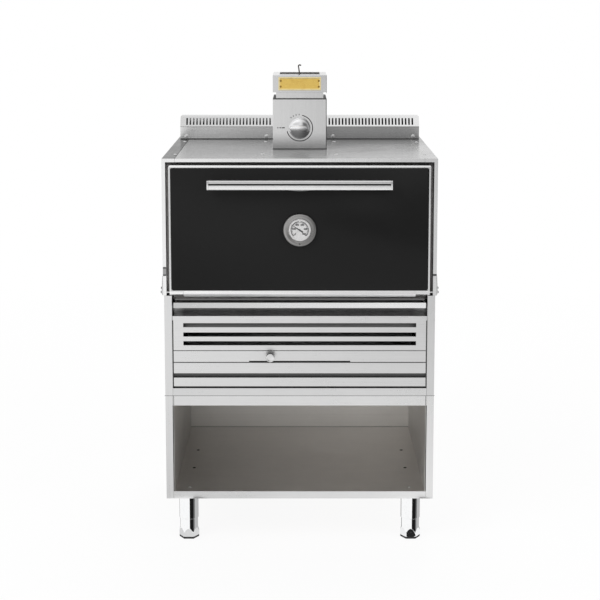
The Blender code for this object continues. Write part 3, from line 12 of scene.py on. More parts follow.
import bmesh
import bpy
import numpy as np
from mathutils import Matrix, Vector

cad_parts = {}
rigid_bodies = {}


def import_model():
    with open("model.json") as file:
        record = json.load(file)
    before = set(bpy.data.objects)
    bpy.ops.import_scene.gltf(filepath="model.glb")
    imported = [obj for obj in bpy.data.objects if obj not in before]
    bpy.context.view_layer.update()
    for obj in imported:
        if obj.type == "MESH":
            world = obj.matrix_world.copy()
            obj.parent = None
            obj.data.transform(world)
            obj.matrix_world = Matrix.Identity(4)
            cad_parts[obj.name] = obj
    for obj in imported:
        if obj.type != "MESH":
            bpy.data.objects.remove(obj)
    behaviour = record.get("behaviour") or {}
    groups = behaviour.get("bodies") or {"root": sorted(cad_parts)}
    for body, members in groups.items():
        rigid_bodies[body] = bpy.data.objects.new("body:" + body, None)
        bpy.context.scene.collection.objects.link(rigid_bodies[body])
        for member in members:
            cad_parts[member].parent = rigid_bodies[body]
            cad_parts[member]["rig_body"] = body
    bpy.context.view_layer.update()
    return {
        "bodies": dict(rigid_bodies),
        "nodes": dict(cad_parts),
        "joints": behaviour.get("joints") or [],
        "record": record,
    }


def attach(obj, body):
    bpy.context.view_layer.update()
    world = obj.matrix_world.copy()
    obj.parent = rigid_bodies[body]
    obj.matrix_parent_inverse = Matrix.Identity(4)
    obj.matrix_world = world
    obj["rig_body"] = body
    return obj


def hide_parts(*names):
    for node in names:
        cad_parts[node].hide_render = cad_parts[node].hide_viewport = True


log = logging.getLogger("charcoal_oven")

SIDES = {"left": -1, "right": 1}
FULL_TURN = 2 * math.pi
# A hexagon's half width across its flats, as a share of that over its corners.
HEXAGON_SHARE = math.cos(math.pi / 6)
# Points nearer than this, in metres, are one.
WELD = 1e-6
# Degrees past which an edge is sharp.
EDGE_TURN = 35.0
# The plane of the front sheets, and a plane just behind their folds.
FRONT = -0.410
BEHIND_FRONT = FRONT + 0.004
# A joint line's rounded edge, how far it stands out of its sheet and how far it goes in; the joint lines are
# painted shadow lines.
SEAM_EDGE = 0.0002
PROUD = 0.0003
SUNK = 0.0010

Colour = tuple[float, float, float]
Point = tuple[float, float, float]
Socket = bpy.types.NodeSocket


class Axis(Enum):
    """The direction in which a turned or straight piece runs, as an index of x, y, z."""

    X = 0
    Y = 1
    Z = 2

    def place(self, along: np.ndarray, first: np.ndarray, second: np.ndarray) -> np.ndarray:
        """Puts three coordinates in order, with `along` on this axis.

        Args:
            along: Values along the axis.
            first: Values on the next axis in turn (x, y, z, x ...).
            second: Values on the one after.

        Returns:
            An array whose last dimension is x, y, z.
        """
        out = np.empty(np.broadcast(along, first, second).shape + (3,))
        out[..., self.value] = along
        out[..., (self.value + 1) % 3] = first
        out[..., (self.value + 2) % 3] = second
        return out


@dataclass
class Surface:
    """Points and faces that are being worked out, before they become a mesh."""

    points: np.ndarray
    faces: list[tuple[int, ...]]

    def __add__(self, other: Surface) -> Surface:
        """Both surfaces side by side."""
        shift = len(self.points)
        faces = [tuple(i + shift for i in face) for face in other.faces]
        return Surface(np.vstack([self.points, other.points]), self.faces + faces)

    def tilted(self, axis: Axis, angle: float, about: Point) -> Surface:
        """The same surface, turned about a line.

        Args:
            axis: The line's direction.
            angle: The turn in radians, by the right-hand rule.
            about: A point on the line.

        Returns:
            The turned surface.
        """
        first, second = (axis.value + 1) % 3, (axis.value + 2) % 3
        local = self.points - np.array(about)
        out = local.copy()
        out[:, first] = local[:, first] * math.cos(angle) - local[:, second] * math.sin(angle)
        out[:, second] = local[:, first] * math.sin(angle) + local[:, second] * math.cos(angle)
        return Surface(out + np.array(about), self.faces)


def together(parts: Iterable[Surface]) -> Surface:
    """All surfaces of a list as one."""
    listed = list(parts)
    starts = np.cumsum([0] + [len(part.points) for part in listed[:-1]])
    faces = [
        tuple(int(i + start) for i in face)
        for part, start in zip(listed, starts)
        for face in part.faces
    ]
    return Surface(np.vstack([part.points for part in listed]), faces)


def net(points: np.ndarray, wrap_rows: bool = False, wrap_columns: bool = False) -> Surface:
    """Quads over a grid: point (i, j) joins (i + 1, j), (i + 1, j + 1) and (i, j + 1).

    Args:
        points: Array of rows x columns x 3.
        wrap_rows: Whether the last row joins the first.
        wrap_columns: Whether the last column joins the first.

    Returns:
        The open or closed net.
    """
    rows, columns = points.shape[:2]
    i = np.arange(rows if wrap_rows else rows - 1)[:, None]
    j = np.arange(columns if wrap_columns else columns - 1)[None, :]
    down, across = (i + 1) % rows, (j + 1) % columns
    corners = [i * columns + j, down * columns + j, down * columns + across, i * columns + across]
    quads = np.stack(np.broadcast_arrays(*corners), axis=-1).reshape(-1, 4)
    return Surface(points.reshape(-1, 3), [tuple(quad) for quad in quads.tolist()])


def tube(rings: np.ndarray) -> Surface:
    """A net over rings of points, rows x columns x 3, closed by a face on each end ring."""
    rows, columns = rings.shape[:2]
    wall = net(rings, wrap_columns=True)
    first = tuple(range(columns))
    last = tuple(range((rows - 1) * columns, rows * columns))
    return Surface(wall.points, wall.faces + [first[::-1], last])


def turned(
    axis: Axis,
    centre: Point,
    along: Sequence[float] | np.ndarray,
    radii: Sequence[float] | np.ndarray,
    sides: int = 48,
) -> Surface:
    """A turned piece: each row is the circle r (cos a, sin a) at its place along the axis.

    Args:
        axis: The axis of the lathe.
        centre: The point that `along` is measured from.
        along: One place for each row, or rows x sides of them.
        radii: One radius for each row, or rows x sides of them.
        sides: How many points a circle has.

    Returns:
        The surface, closed at both ends.
    """
    angle = np.linspace(0, FULL_TURN, sides, endpoint=False)[None, :]
    reach = np.asarray(along, float)
    radius = np.asarray(radii, float)
    reach = reach[:, None] if reach.ndim == 1 else reach
    radius = radius[:, None] if radius.ndim == 1 else radius
    rows = max(len(reach), len(radius))
    grid = axis.place(reach, radius * np.cos(angle), radius * np.sin(angle))
    return tube(np.broadcast_to(grid, (rows, sides, 3)) + np.array(centre))


def carried(
    axis: Axis, outline: np.ndarray, low: float, high: float, rows: int = 2
) -> Surface:
    """A closed outline carried straight along an axis, with both ends closed.

    Args:
        axis: The direction.
        outline: Points x 2, on the two axes that follow `axis` in turn.
        low: Where the piece starts.
        high: Where it ends.
        rows: How many copies of the outline there are.

    Returns:
        The prism.
    """
    along = np.linspace(low, high, rows)[:, None]
    return tube(axis.place(along, outline[None, :, 0], outline[None, :, 1]))


def block(low: Point, high: Point) -> Surface:
    """A straight bar or plate between two corners; its edges are rounded when it is finished."""
    outline = np.array([(low[0], low[1]), (high[0], low[1]), (high[0], high[1]), (low[0], high[1])])
    return carried(Axis.Z, outline, low[2], high[2])


def both_sides(low: Point, high: Point) -> Surface:
    """A bar and its mirror image on the other side of the oven."""
    return block(low, high) + block((-high[0], *low[1:]), (-low[0], *high[1:]))


def six_flats(sides: int) -> np.ndarray:
    """Radii of a hexagon whose flats are 1 from its middle: 1 / cos of the angle off a flat."""
    sixth = FULL_TURN / 6
    angle = np.linspace(0, FULL_TURN, sides, endpoint=False)
    return 1 / np.cos(angle % sixth - sixth / 2)


def rounded_rectangle(
    low: tuple[float, float], high: tuple[float, float], radius: float, steps: int = 6
) -> np.ndarray:
    """A rectangle with round corners: each corner is a quarter circle about its own centre."""
    quarter = np.linspace(0, math.pi / 2, steps)
    turns = np.concatenate([quarter + k * math.pi / 2 for k in range(4)])
    across = np.repeat([high[0] - radius, low[0] + radius, low[0] + radius, high[0] - radius], steps)
    up = np.repeat([high[1] - radius, high[1] - radius, low[1] + radius, low[1] + radius], steps)
    return np.stack([across + radius * np.cos(turns), up + radius * np.sin(turns)], axis=1)


def wire(
    path: np.ndarray,
    radius: float | np.ndarray,
    flat: Point,
    sides: int = 10,
    closed: bool = False,
) -> Surface:
    """A round wire along a flat path: p + r (cos a n + sin a b), n across the path in its plane.

    Args:
        path: Points of the middle line, count x 3.
        radius: The wire's radius, for all points or for each ring and side.
        flat: The direction square to the plane in which the path lies.
        sides: How many points a ring has.
        closed: Whether the path ends where it starts.

    Returns:
        The wire, with closed ends or as a closed ring.
    """
    if closed:
        ahead = np.roll(path, -1, axis=0) - np.roll(path, 1, axis=0)
    else:
        ahead = np.gradient(path, axis=0)
    ahead /= np.linalg.norm(ahead, axis=1, keepdims=True)
    up = np.array(flat, float) / np.linalg.norm(flat)
    across = np.cross(ahead, up)
    angle = np.linspace(0, FULL_TURN, sides, endpoint=False)[None, :, None]
    thick = np.broadcast_to(np.asarray(radius, float), (len(path), sides))[:, :, None]
    grid = path[:, None] + thick * (np.cos(angle) * across[:, None] + np.sin(angle) * up)
    if closed:
        return net(grid, wrap_rows=True, wrap_columns=True)
    return tube(grid)


def arc_band(
    centre: Point, inner: float, outer: float, start: float, end: float, thick: float, steps: int = 48
) -> Surface:
    """A flat curved band facing the front, such as a printed scale.

    Args:
        centre: Its middle, on the face that carries it.
        inner: Inner radius.
        outer: Outer radius.
        start: First angle in radians, from the right, anticlockwise as seen from the front.
        end: Last angle.
        thick: How far it stands out towards the front.
        steps: How many pieces the arc has.

    Returns:
        The closed band.
    """
    angle = np.linspace(start, end, steps)
    radius = np.array([inner, outer, outer, inner])[:, None]
    out = np.array([0.0, 0.0, -thick, -thick])[:, None]
    x, z = radius * np.cos(angle), radius * np.sin(angle)
    grid = np.stack([x, np.broadcast_to(out, x.shape), z], axis=-1).transpose(1, 0, 2)
    return tube(grid + np.array(centre))


@dataclass(frozen=True)
class Fade:
    """A share by which a colour changes along an axis, used to paint light and shade: `low` at `start`,
    `high` at `end`.
    """

    axis: Axis
    start: float
    end: float
    low: float
    high: float


def across(left: float, right: float) -> Fade:
    """A fade of painted light and shade over the oven's whole width."""
    return Fade(Axis.X, -0.47, 0.47, left, right)


class Graph:
    """The nodes of one material, with short calls for the patterns that the finishes share."""

    def __init__(self, name: str, world: bool = False) -> None:
        """Starts an empty material or world with its output.

        Args:
            name: Its name.
            world: Whether it is a world.
        """
        self.holder = (bpy.data.worlds if world else bpy.data.materials).new(name)
        self.holder.use_nodes = True
        self.tree = self.holder.node_tree
        self.tree.nodes.clear()
        self.output = self.node("OutputWorld" if world else "OutputMaterial")

    def node(self, kind: str, **settings: object) -> bpy.types.Node:
        """Adds a node.

        Args:
            kind: Its type without the leading "ShaderNode".
            **settings: Attributes that are set on it.

        Returns:
            The node.
        """
        node = self.tree.nodes.new("ShaderNode" + kind)
        for key, value in settings.items():
            setattr(node, key, value)
        return node

    def link(self, source: Socket, target: Socket) -> None:
        """Joins two sockets."""
        self.tree.links.new(source, target)

    def place(self, scale: Point, shift: Point = (0, 0, 0)) -> Socket:
        """Object coordinates, shifted and then stretched."""
        coordinates = self.node("TexCoord")
        mapping = self.node("Mapping", vector_type="POINT")
        mapping.inputs["Scale"].default_value = scale
        mapping.inputs["Location"].default_value = tuple(s * k for s, k in zip(shift, scale))
        self.link(coordinates.outputs["Object"], mapping.inputs["Vector"])
        return mapping.outputs["Vector"]

    def noise(
        self, scale: Point | float, detail: float = 3.0, shift: Point = (0, 0, 0), rough: float = 0.5
    ) -> Socket:
        """Cloudy noise, from 0 to 1, with one scale or its own on each axis."""
        noise = self.node("TexNoise")
        noise.inputs["Scale"].default_value = 1.0
        noise.inputs["Detail"].default_value = detail
        noise.inputs["Roughness"].default_value = rough
        each = (scale,) * 3 if isinstance(scale, float) else scale
        self.link(self.place(each, shift), noise.inputs["Vector"])
        return noise.outputs["Fac"]

    def ranged(
        self, source: Socket, low: float, high: float, start: float = 0.3, end: float = 0.7
    ) -> Socket:
        """Stretches values from `start`..`end` to `low`..`high`, held at both ends."""
        node = self.node("MapRange", clamp=True)
        self.link(source, node.inputs["Value"])
        for name, value in (("From Min", start), ("From Max", end), ("To Min", low), ("To Max", high)):
            node.inputs[name].default_value = value
        return node.outputs["Result"]

    def mask(self, source: Socket, start: float = 0.3, end: float = 0.7) -> Socket:
        """0 up to `start`, 1 from `end` on, and an even rise in between."""
        return self.ranged(source, 0.0, 1.0, start, end)

    def feed(self, source: Socket | float, target: Socket) -> None:
        """Joins a socket to another, or sets it to a plain number."""
        if isinstance(source, float):
            target.default_value = source
        else:
            self.link(source, target)

    def maths(self, operation: str, first: Socket, second: Socket | float) -> Socket:
        """One sum of two values, such as ADD or MULTIPLY."""
        node = self.node("Math", operation=operation)
        self.link(first, node.inputs[0])
        self.feed(second, node.inputs[1])
        return node.outputs[0]

    def shared(self, first: Socket, second: Socket, share: float) -> Socket:
        """A share of the first value and the rest of the second."""
        rest = self.maths("MULTIPLY", second, 1.0 - share)
        return self.maths("ADD", self.maths("MULTIPLY", first, share), rest)

    def blend(self, factor: Socket, first: Socket | float, second: Socket | float) -> Socket:
        """A value that goes from the first to the second with the factor."""
        mix = self.node("Mix", data_type="FLOAT")
        self.link(factor, mix.inputs["Factor"])
        self.feed(first, mix.inputs["A"])
        self.feed(second, mix.inputs["B"])
        return mix.outputs["Result"]

    def cover(self, factor: Socket, under: Socket, over: Socket) -> None:
        """Ends the tree with one shader that goes over into another with the factor."""
        mix = self.node("MixShader")
        self.link(factor, mix.inputs["Fac"])
        self.link(under, mix.inputs[1])
        self.link(over, mix.inputs[2])
        self.link(mix.outputs["Shader"], self.output.inputs["Surface"])

    def axes(self) -> bpy.types.NodeOutputs:
        """The three object coordinates, named X, Y and Z."""
        split = self.node("SeparateXYZ")
        self.link(self.place((1, 1, 1)), split.inputs[0])
        return split.outputs

    def between(self, factor: Socket, first: Colour, second: Colour) -> Socket:
        """A colour that goes from the first to the second with the factor."""
        mix = self.node("Mix", data_type="RGBA")
        self.link(factor, mix.inputs["Factor"])
        mix.inputs["A"].default_value = (*first, 1)
        mix.inputs["B"].default_value = (*second, 1)
        return mix.outputs["Result"]

    def faded(self, colour: Socket, fades: Sequence[Fade]) -> Socket:
        """A colour times the product of its fades."""
        if not fades:
            return colour
        axes = self.axes()
        for fade in fades:
            scaled = self.node("VectorMath", operation="SCALE")
            share = self.ranged(axes[fade.axis.name], fade.low, fade.high, fade.start, fade.end)
            self.link(colour, scaled.inputs[0])
            self.link(share, scaled.inputs["Scale"])
            colour = scaled.outputs[0]
        return colour

    def bumped(
        self, height: Socket, depth: float, over: Socket | None = None
    ) -> Socket:
        """A normal from a height in the range 0 to 1, `depth` metres deep."""
        bump = self.node("Bump")
        bump.inputs["Strength"].default_value = 1.0
        bump.inputs["Distance"].default_value = depth
        self.link(height, bump.inputs["Height"])
        if over is not None:
            self.link(over, bump.inputs["Normal"])
        return bump.outputs["Normal"]

    def shader(
        self,
        colour: Socket | Colour,
        roughness: Socket | float,
        normal: Socket | None = None,
        **plain: float | Colour,
    ) -> bpy.types.Material:
        """Finishes the material with a Principled surface.

        Args:
            colour: Base colour.
            roughness: Roughness.
            normal: Bumped normal.
            **plain: Sockets set to one value, with `_` for a space in the name.

        Returns:
            The finished material.
        """
        surface = self.node("BsdfPrincipled")
        if isinstance(colour, tuple):
            surface.inputs["Base Color"].default_value = (*colour, 1)
        else:
            self.link(colour, surface.inputs["Base Color"])
        self.feed(roughness, surface.inputs["Roughness"])
        if normal is not None:
            self.link(normal, surface.inputs["Normal"])
        for key, value in plain.items():
            socket = surface.inputs[key.replace("_", " ")]
            socket.default_value = (*value, 1) if isinstance(value, tuple) else value
        self.link(surface.outputs["BSDF"], self.output.inputs["Surface"])
        return self.holder


def grey(value: float) -> Colour:
    """A neutral colour."""
    return (value, value, value)


def tinted(colour: Colour, share: float) -> Colour:
    """A colour made lighter or darker by a share."""
    red, green, blue = (min(1.0, channel * share) for channel in colour)
    return (red, green, blue)


class Grain(Enum):
    """The direction in which sheet metal was brushed."""

    ALONG_X = (2.0, 330.0, 330.0)
    ALONG_Y = (330.0, 2.0, 330.0)
    ALONG_Z = (330.0, 330.0, 2.0)
    NONE = (45.0, 45.0, 45.0)


@dataclass(frozen=True)
class BrushedSteel:
    """Stainless sheet: fine brushing, soft rolling waves, smudges and a worn, brighter edge."""

    name: str
    colour: Colour
    grain: Grain = Grain.ALONG_X
    roughness: float = 0.30
    brush_depth: float = 0.00003
    wave_depth: float = 0.0004
    edge_tint: float = 0.9
    metallic: float = 1.0
    fades: tuple[Fade, ...] = ()

    def material(self) -> bpy.types.Material:
        """Brushing is noise stretched along the grain; waves and smudges are broad noise."""
        graph = Graph(self.name)
        fine = tuple(value * 4.0 if value > 100 else value * 12.0 for value in self.grain.value)
        brushing = graph.noise(self.grain.value, 4.0)
        hairs = graph.noise(fine, 2.0, (0.3, 0.1, 0.2))
        lines = graph.shared(brushing, hairs, 0.6)
        smudge = graph.noise(5.0, 6.0, (1.7, 0.4, 2.3), 0.62)
        cloud = graph.mask(smudge, 0.32, 0.68)
        shade = graph.shared(lines, cloud, 0.75)
        colour = graph.between(
            graph.mask(shade), tinted(self.colour, 0.93), tinted(self.colour, 1.06)
        )
        spread = graph.maths(
            "ADD",
            graph.ranged(lines, -0.035, 0.035),
            graph.ranged(smudge, self.roughness - 0.03, self.roughness + 0.06, 0.35, 0.72),
        )
        waves = graph.bumped(graph.noise(2.2, 1.0, (4.1, 2.0, 0.7)), self.wave_depth)
        normal = graph.bumped(lines, self.brush_depth, waves)
        return graph.shader(
            graph.faded(colour, self.fades),
            spread,
            normal,
            Metallic=self.metallic,
            Specular_Tint=grey(self.edge_tint),
        )


@dataclass(frozen=True)
class Chrome:
    """Polished plating: clear reflections with faint wiping marks and a few dull spots."""

    name: str
    colour: Colour = (0.94, 0.945, 0.95)
    roughness: float = 0.06
    fades: tuple[Fade, ...] = ()

    def material(self) -> bpy.types.Material:
        """Wiping marks are noise stretched round the piece; dull spots are where noise is high."""
        graph = Graph(self.name)
        wipes = graph.noise((18.0, 18.0, 260.0), 4.0)
        spots = graph.noise(60.0, 5.0, (3.0, 1.0, 2.0), 0.7)
        colour = graph.between(
            graph.mask(spots, 0.50, 0.80), self.colour, tinted(self.colour, 0.95)
        )
        spread = graph.maths(
            "ADD",
            graph.ranged(wipes, self.roughness - 0.02, self.roughness + 0.03),
            graph.ranged(spots, 0.0, 0.08, 0.60, 0.80),
        )
        colour = graph.faded(colour, self.fades)
        return graph.shader(colour, spread, graph.bumped(wipes, 0.00001), Metallic=1.0)


@dataclass(frozen=True)
class BlackFront:
    """Deep black enamelled glass: nearly even, with faint dust and wiping haze."""

    name: str
    colour: Colour = grey(0.0098)
    roughness: float = 0.16
    specular: float = 0.13

    def material(self) -> bpy.types.Material:
        """Haze is broad noise on the roughness; dust is fine noise that lifts the black a little."""
        graph = Graph(self.name)
        haze = graph.noise((6.0, 6.0, 3.0), 5.0, (0.8, 0.2, 1.4), 0.6)
        dust = graph.noise(900.0, 2.0)
        colour = graph.between(
            graph.mask(dust, 0.55, 0.8), self.colour, tinted(self.colour, 1.35)
        )
        spread = graph.ranged(haze, self.roughness, self.roughness + 0.10, 0.35, 0.7)
        return graph.shader(
            colour, spread, graph.bumped(dust, 0.000004), Specular_IOR_Level=self.specular
        )


@dataclass(frozen=True)
class Brass:
    """Lacquered brass sheet, brushed along its length and a little browned in places."""

    name: str
    colour: Colour = (0.96, 0.67, 0.18)
    browned: Colour = (0.80, 0.51, 0.125)

    def material(self) -> bpy.types.Material:
        """Brushing runs along x; browning follows broad noise."""
        graph = Graph(self.name)
        lines = graph.noise((25.0, 900.0, 900.0), 3.0)
        stain = graph.noise(45.0, 5.0, (0.4, 2.0, 1.1), 0.6)
        colour = graph.between(graph.mask(stain, 0.5, 0.85), self.colour, self.browned)
        spread = graph.ranged(lines, 0.24, 0.38)
        return graph.shader(colour, spread, graph.bumped(lines, 0.00003), Metallic=1.0)


@dataclass(frozen=True)
class Cast:
    """Cast iron or refractory: pores, a grainy skin, and soot or ash over it."""

    name: str
    colour: Colour
    deposit: Colour
    roughness: float = 0.7
    metallic: float = 0.6
    pore: float = 420.0
    depth: float = 0.0004

    def material(self) -> bpy.types.Material:
        """Grain and pores are fine noise and cells; the deposit follows broad noise."""
        graph = Graph(self.name)
        skin = graph.noise(self.pore, 5.0, rough=0.65)
        cells = graph.node("TexVoronoi")
        cells.inputs["Scale"].default_value = 1.0
        graph.link(graph.place((self.pore * 0.4,) * 3), cells.inputs["Vector"])
        soot = graph.noise(9.0, 7.0, (2.0, 0.0, 1.0), 0.65)
        mask = graph.mask(soot, 0.38, 0.62)
        colour = graph.between(mask, self.colour, self.deposit)
        height = graph.maths(
            "ADD", skin, graph.ranged(cells.outputs["Distance"], 0.0, 0.6, 0.0, 0.35)
        )
        spread = graph.maths("ADD", graph.ranged(skin, -0.08, 0.08), graph.ranged(soot, self.roughness, 0.95))
        return graph.shader(colour, spread, graph.bumped(height, self.depth), Metallic=self.metallic)


@dataclass(frozen=True)
class Fibre:
    """Mineral wool or glass rope: tangled light fibres, with painted shade in the hollows between them."""

    name: str
    light: Colour
    dark: Colour
    strand: float = 260.0
    depth: float = 0.0015

    def material(self) -> bpy.types.Material:
        """Strands are two stretched noises that cross; hollows are where both are low, and get the dark
        colour as painted shade.
        """
        graph = Graph(self.name)
        one = graph.noise((self.strand, self.strand * 0.12, self.strand * 0.5), 5.0)
        two = graph.noise((self.strand * 0.12, self.strand, self.strand * 0.4), 5.0, (1.0, 2.0, 3.0))
        height = graph.maths("MAXIMUM", one, two)
        colour = graph.between(graph.mask(height, 0.42, 0.66), self.dark, self.light)
        return graph.shader(
            colour, 0.95, graph.bumped(height, self.depth), Sheen_Weight=0.3, Sheen_Roughness=0.5
        )


@dataclass(frozen=True)
class Enamel:
    """Paint or enamel: an even coat with slight orange peel and specks."""

    name: str
    colour: Colour
    roughness: float = 0.35
    peel: float = 0.00002
    specular: float = 0.5

    def material(self) -> bpy.types.Material:
        """Peel is soft fine noise; specks shift the colour a little."""
        graph = Graph(self.name)
        peel = graph.noise(700.0, 2.0)
        specks = graph.noise(150.0, 5.0, (1.0, 1.0, 2.0), 0.7)
        colour = graph.between(
            graph.mask(specks, 0.5, 0.8), self.colour, tinted(self.colour, 0.88)
        )
        spread = graph.ranged(specks, self.roughness - 0.04, self.roughness + 0.08)
        return graph.shader(
            colour, spread, graph.bumped(peel, self.peel), Specular_IOR_Level=self.specular
        )


@dataclass(frozen=True)
class ClearGlass:
    """A thin clear lens with faint wiping haze."""

    name: str
    roughness: float = 0.03

    def material(self) -> bpy.types.Material:
        """Mostly see-through, with a weak gloss whose haze follows broad noise."""
        graph = Graph(self.name)
        haze = graph.noise(70.0, 4.0)
        gloss = graph.node("BsdfPrincipled")
        gloss.inputs["Base Color"].default_value = (0.9, 0.92, 0.93, 1)
        graph.link(graph.ranged(haze, self.roughness, self.roughness + 0.08), gloss.inputs["Roughness"])
        fresnel = graph.node("Fresnel")
        fresnel.inputs["IOR"].default_value = 1.45
        share = graph.ranged(fresnel.outputs["Fac"], 0.03, 0.45, 0.03, 0.9)
        graph.cover(share, graph.node("BsdfTransparent").outputs["BSDF"], gloss.outputs["BSDF"])
        return graph.holder


@dataclass(frozen=True)
class Zone:
    """A second finish on some faces of a sheet: `wants` says which, by face middle and normal."""

    finish: object
    wants: Callable[[np.ndarray, np.ndarray], np.ndarray]


@dataclass(frozen=True)
class Faces:
    """Which faces a zone takes: those that look one way, with their middles between limits."""

    looks: tuple[Axis, int] | None = None
    within: tuple[tuple[Axis, float, float], ...] = ()

    def __call__(self, middles: np.ndarray, normals: np.ndarray) -> np.ndarray:
        """Tests every face.

        Args:
            middles: The middle of each face.
            normals: The normal of each face.

        Returns:
            True for each face that is taken.
        """
        taken = np.ones(len(middles), bool)
        if self.looks:
            axis, sign = self.looks
            taken &= normals[:, axis.value] * sign > 0.5
        for axis, low, high in self.within:
            taken &= (middles[:, axis.value] > low) & (middles[:, axis.value] < high)
        return taken


TO_FRONT = Faces((Axis.Y, -1))
TO_TOP = Faces((Axis.Z, 1))
FRONT_PLANE = Faces((Axis.Y, -1), ((Axis.Y, FRONT - 0.01, BEHIND_FRONT),))


class Workshop:
    """Turns worked-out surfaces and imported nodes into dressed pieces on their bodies."""

    def __init__(self, frame: dict) -> None:
        """Keeps the frame and the slot of each node.
        """
        self.nodes: dict[str, bpy.types.Object] = frame["nodes"]
        self.slots = {row["node"]: row["material_slot"] for row in frame["record"]["subparts"]}
        self.made: dict[object, bpy.types.Material] = {}

    def material(self, finish: object) -> bpy.types.Material:
        """The finish's material, made once."""
        if finish not in self.made:
            self.made[finish] = finish.material()
        return self.made[finish]

    def body(self, node: str) -> str:
        """The body that a node rides on."""
        return self.nodes[node]["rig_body"]

    def shape(self, name: str, builder: bmesh.types.BMesh, sharp: float) -> bpy.types.Object:
        """Makes an object of a builder mesh, smooth but for its sharp edges.

        Args:
            name: The piece's name.
            builder: The mesh being built; it is freed.
            sharp: Angle in degrees past which an edge stays sharp.

        Returns:
            The object, in the scene.
        """
        mesh = bpy.data.meshes.new(name)
        builder.to_mesh(mesh)
        builder.free()
        mesh.polygons.foreach_set("use_smooth", np.ones(len(mesh.polygons), bool))
        mesh.set_sharp_from_angle(angle=math.radians(sharp))
        made = bpy.data.objects.new(name, mesh)
        bpy.context.scene.collection.objects.link(made)
        return made

    def rounded(self, piece: bpy.types.Object, edge: float) -> None:
        """Rounds a piece's sharp edges by a small radius."""
        bevel = piece.modifiers.new("rounded_edges", "BEVEL")
        bevel.width = edge
        bevel.segments = 2
        bevel.limit_method = "ANGLE"
        bevel.angle_limit = math.radians(EDGE_TURN)
        bevel.harden_normals = True

    def dress(self, piece: bpy.types.Object, finish: object, zones: Sequence[Zone]) -> None:
        """Gives a piece its finish, and other finishes to the faces of its zones."""
        mesh = piece.data
        mesh.materials.clear()
        mesh.materials.append(self.material(finish))
        if not zones:
            return
        count = len(mesh.polygons)
        middles, normals = np.empty(count * 3), np.empty(count * 3)
        mesh.polygons.foreach_get("center", middles)
        mesh.polygons.foreach_get("normal", normals)
        slots = np.zeros(count, np.int32)
        for number, zone in enumerate(zones, start=1):
            mesh.materials.append(self.material(zone.finish))
            slots[zone.wants(middles.reshape(-1, 3), normals.reshape(-1, 3))] = number
        mesh.polygons.foreach_set("material_index", slots)

    def hand_over(
        self, made: bpy.types.Object, edge: float, body: str, stands_for: Sequence[str]
    ) -> None:
        """Rounds a dressed piece's edges and tells the frame what it is.

        Args:
            made: The piece.
            edge: Radius of its rounded edges, or 0 for none.
            body: The body that it rides on.
            stands_for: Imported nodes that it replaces.
        """
        if edge:
            self.rounded(made, edge)
        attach(made, body)
        if stands_for:
            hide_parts(*stands_for)
        log.info("made %s: %d faces, on %s", made.name, len(made.data.polygons), body)

    def piece(
        self,
        name: str,
        surface: Surface,
        finish: object,
        body: str,
        slot: str,
        stands_for: Sequence[str] = (),
        edge: float = 0.0,
        sharp: float = EDGE_TURN,
        zones: Sequence[Zone] = (),
    ) -> bpy.types.Object:
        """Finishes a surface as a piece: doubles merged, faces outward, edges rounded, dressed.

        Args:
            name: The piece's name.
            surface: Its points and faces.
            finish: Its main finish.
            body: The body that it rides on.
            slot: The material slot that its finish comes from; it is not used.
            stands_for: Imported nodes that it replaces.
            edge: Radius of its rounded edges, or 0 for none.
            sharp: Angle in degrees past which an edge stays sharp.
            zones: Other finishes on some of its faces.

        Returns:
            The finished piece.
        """
        mesh = bpy.data.meshes.new(name + "_draft")
        mesh.from_pydata(surface.points.tolist(), [], surface.faces)
        builder = bmesh.new()
        builder.from_mesh(mesh)
        bpy.data.meshes.remove(mesh)
        bmesh.ops.remove_doubles(builder, verts=builder.verts, dist=WELD)
        bmesh.ops.dissolve_degenerate(builder, edges=builder.edges, dist=WELD)
        bmesh.ops.recalc_face_normals(builder, faces=builder.faces)
        made = self.shape(name, builder, sharp)
        self.dress(made, finish, zones)
        self.hand_over(made, edge, body, stands_for)
        return made

    def sheet(
        self,
        node: str,
        finish: object,
        edge: float = 0.0004,
        zones: Sequence[Zone] = (),
        corners: Callable[[Vector], bool] | None = None,
        corner_radius: float = 0.0,
    ) -> bpy.types.Object:
        """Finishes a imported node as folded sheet: a merged copy with rounded edges.

        Args:
            node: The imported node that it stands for.
            finish: Its main finish.
            edge: Radius of its rounded edges.
            zones: Other finishes on some of its faces.
            corners: Says for a point whether it is on a corner that is rounded more.
            corner_radius: Radius of those corners.

        Returns:
            The finished piece.
        """
        builder = bmesh.new()
        builder.from_mesh(self.nodes[node].data)
        bmesh.ops.remove_doubles(builder, verts=builder.verts, dist=WELD * 5)
        bmesh.ops.dissolve_limit(
            builder, angle_limit=math.radians(0.6), verts=builder.verts, edges=builder.edges
        )
        if corners:
            edges = [edge for edge in builder.edges if all(corners(vert.co) for vert in edge.verts)]
            bmesh.ops.bevel(
                builder, geom=edges, offset=corner_radius, segments=5, profile=0.5, affect="EDGES"
            )
        made = self.shape(node + "_finished", builder, EDGE_TURN)
        self.dress(made, finish, zones)
        self.hand_over(made, edge, self.body(node), [node])
        return made


class Head(Enum):
    """The kinds of fastener heads: rows of (place along the axis, radius), as shares."""

    SOCKET = ((0, 1.0), (0.45, 1.0), (0.85, 0.86), (1.0, 0.62), (1.0, 0.52), (0.35, 0.50))
    RIVET = ((0, 1.0), (0.30, 0.97), (0.62, 0.84), (0.88, 0.56), (1.0, 0.24))
    HEXAGON = ((0, 1.35), (0.16, 1.35), (0.16, 1.0), (0.9, 1.0), (1.0, 0.86))


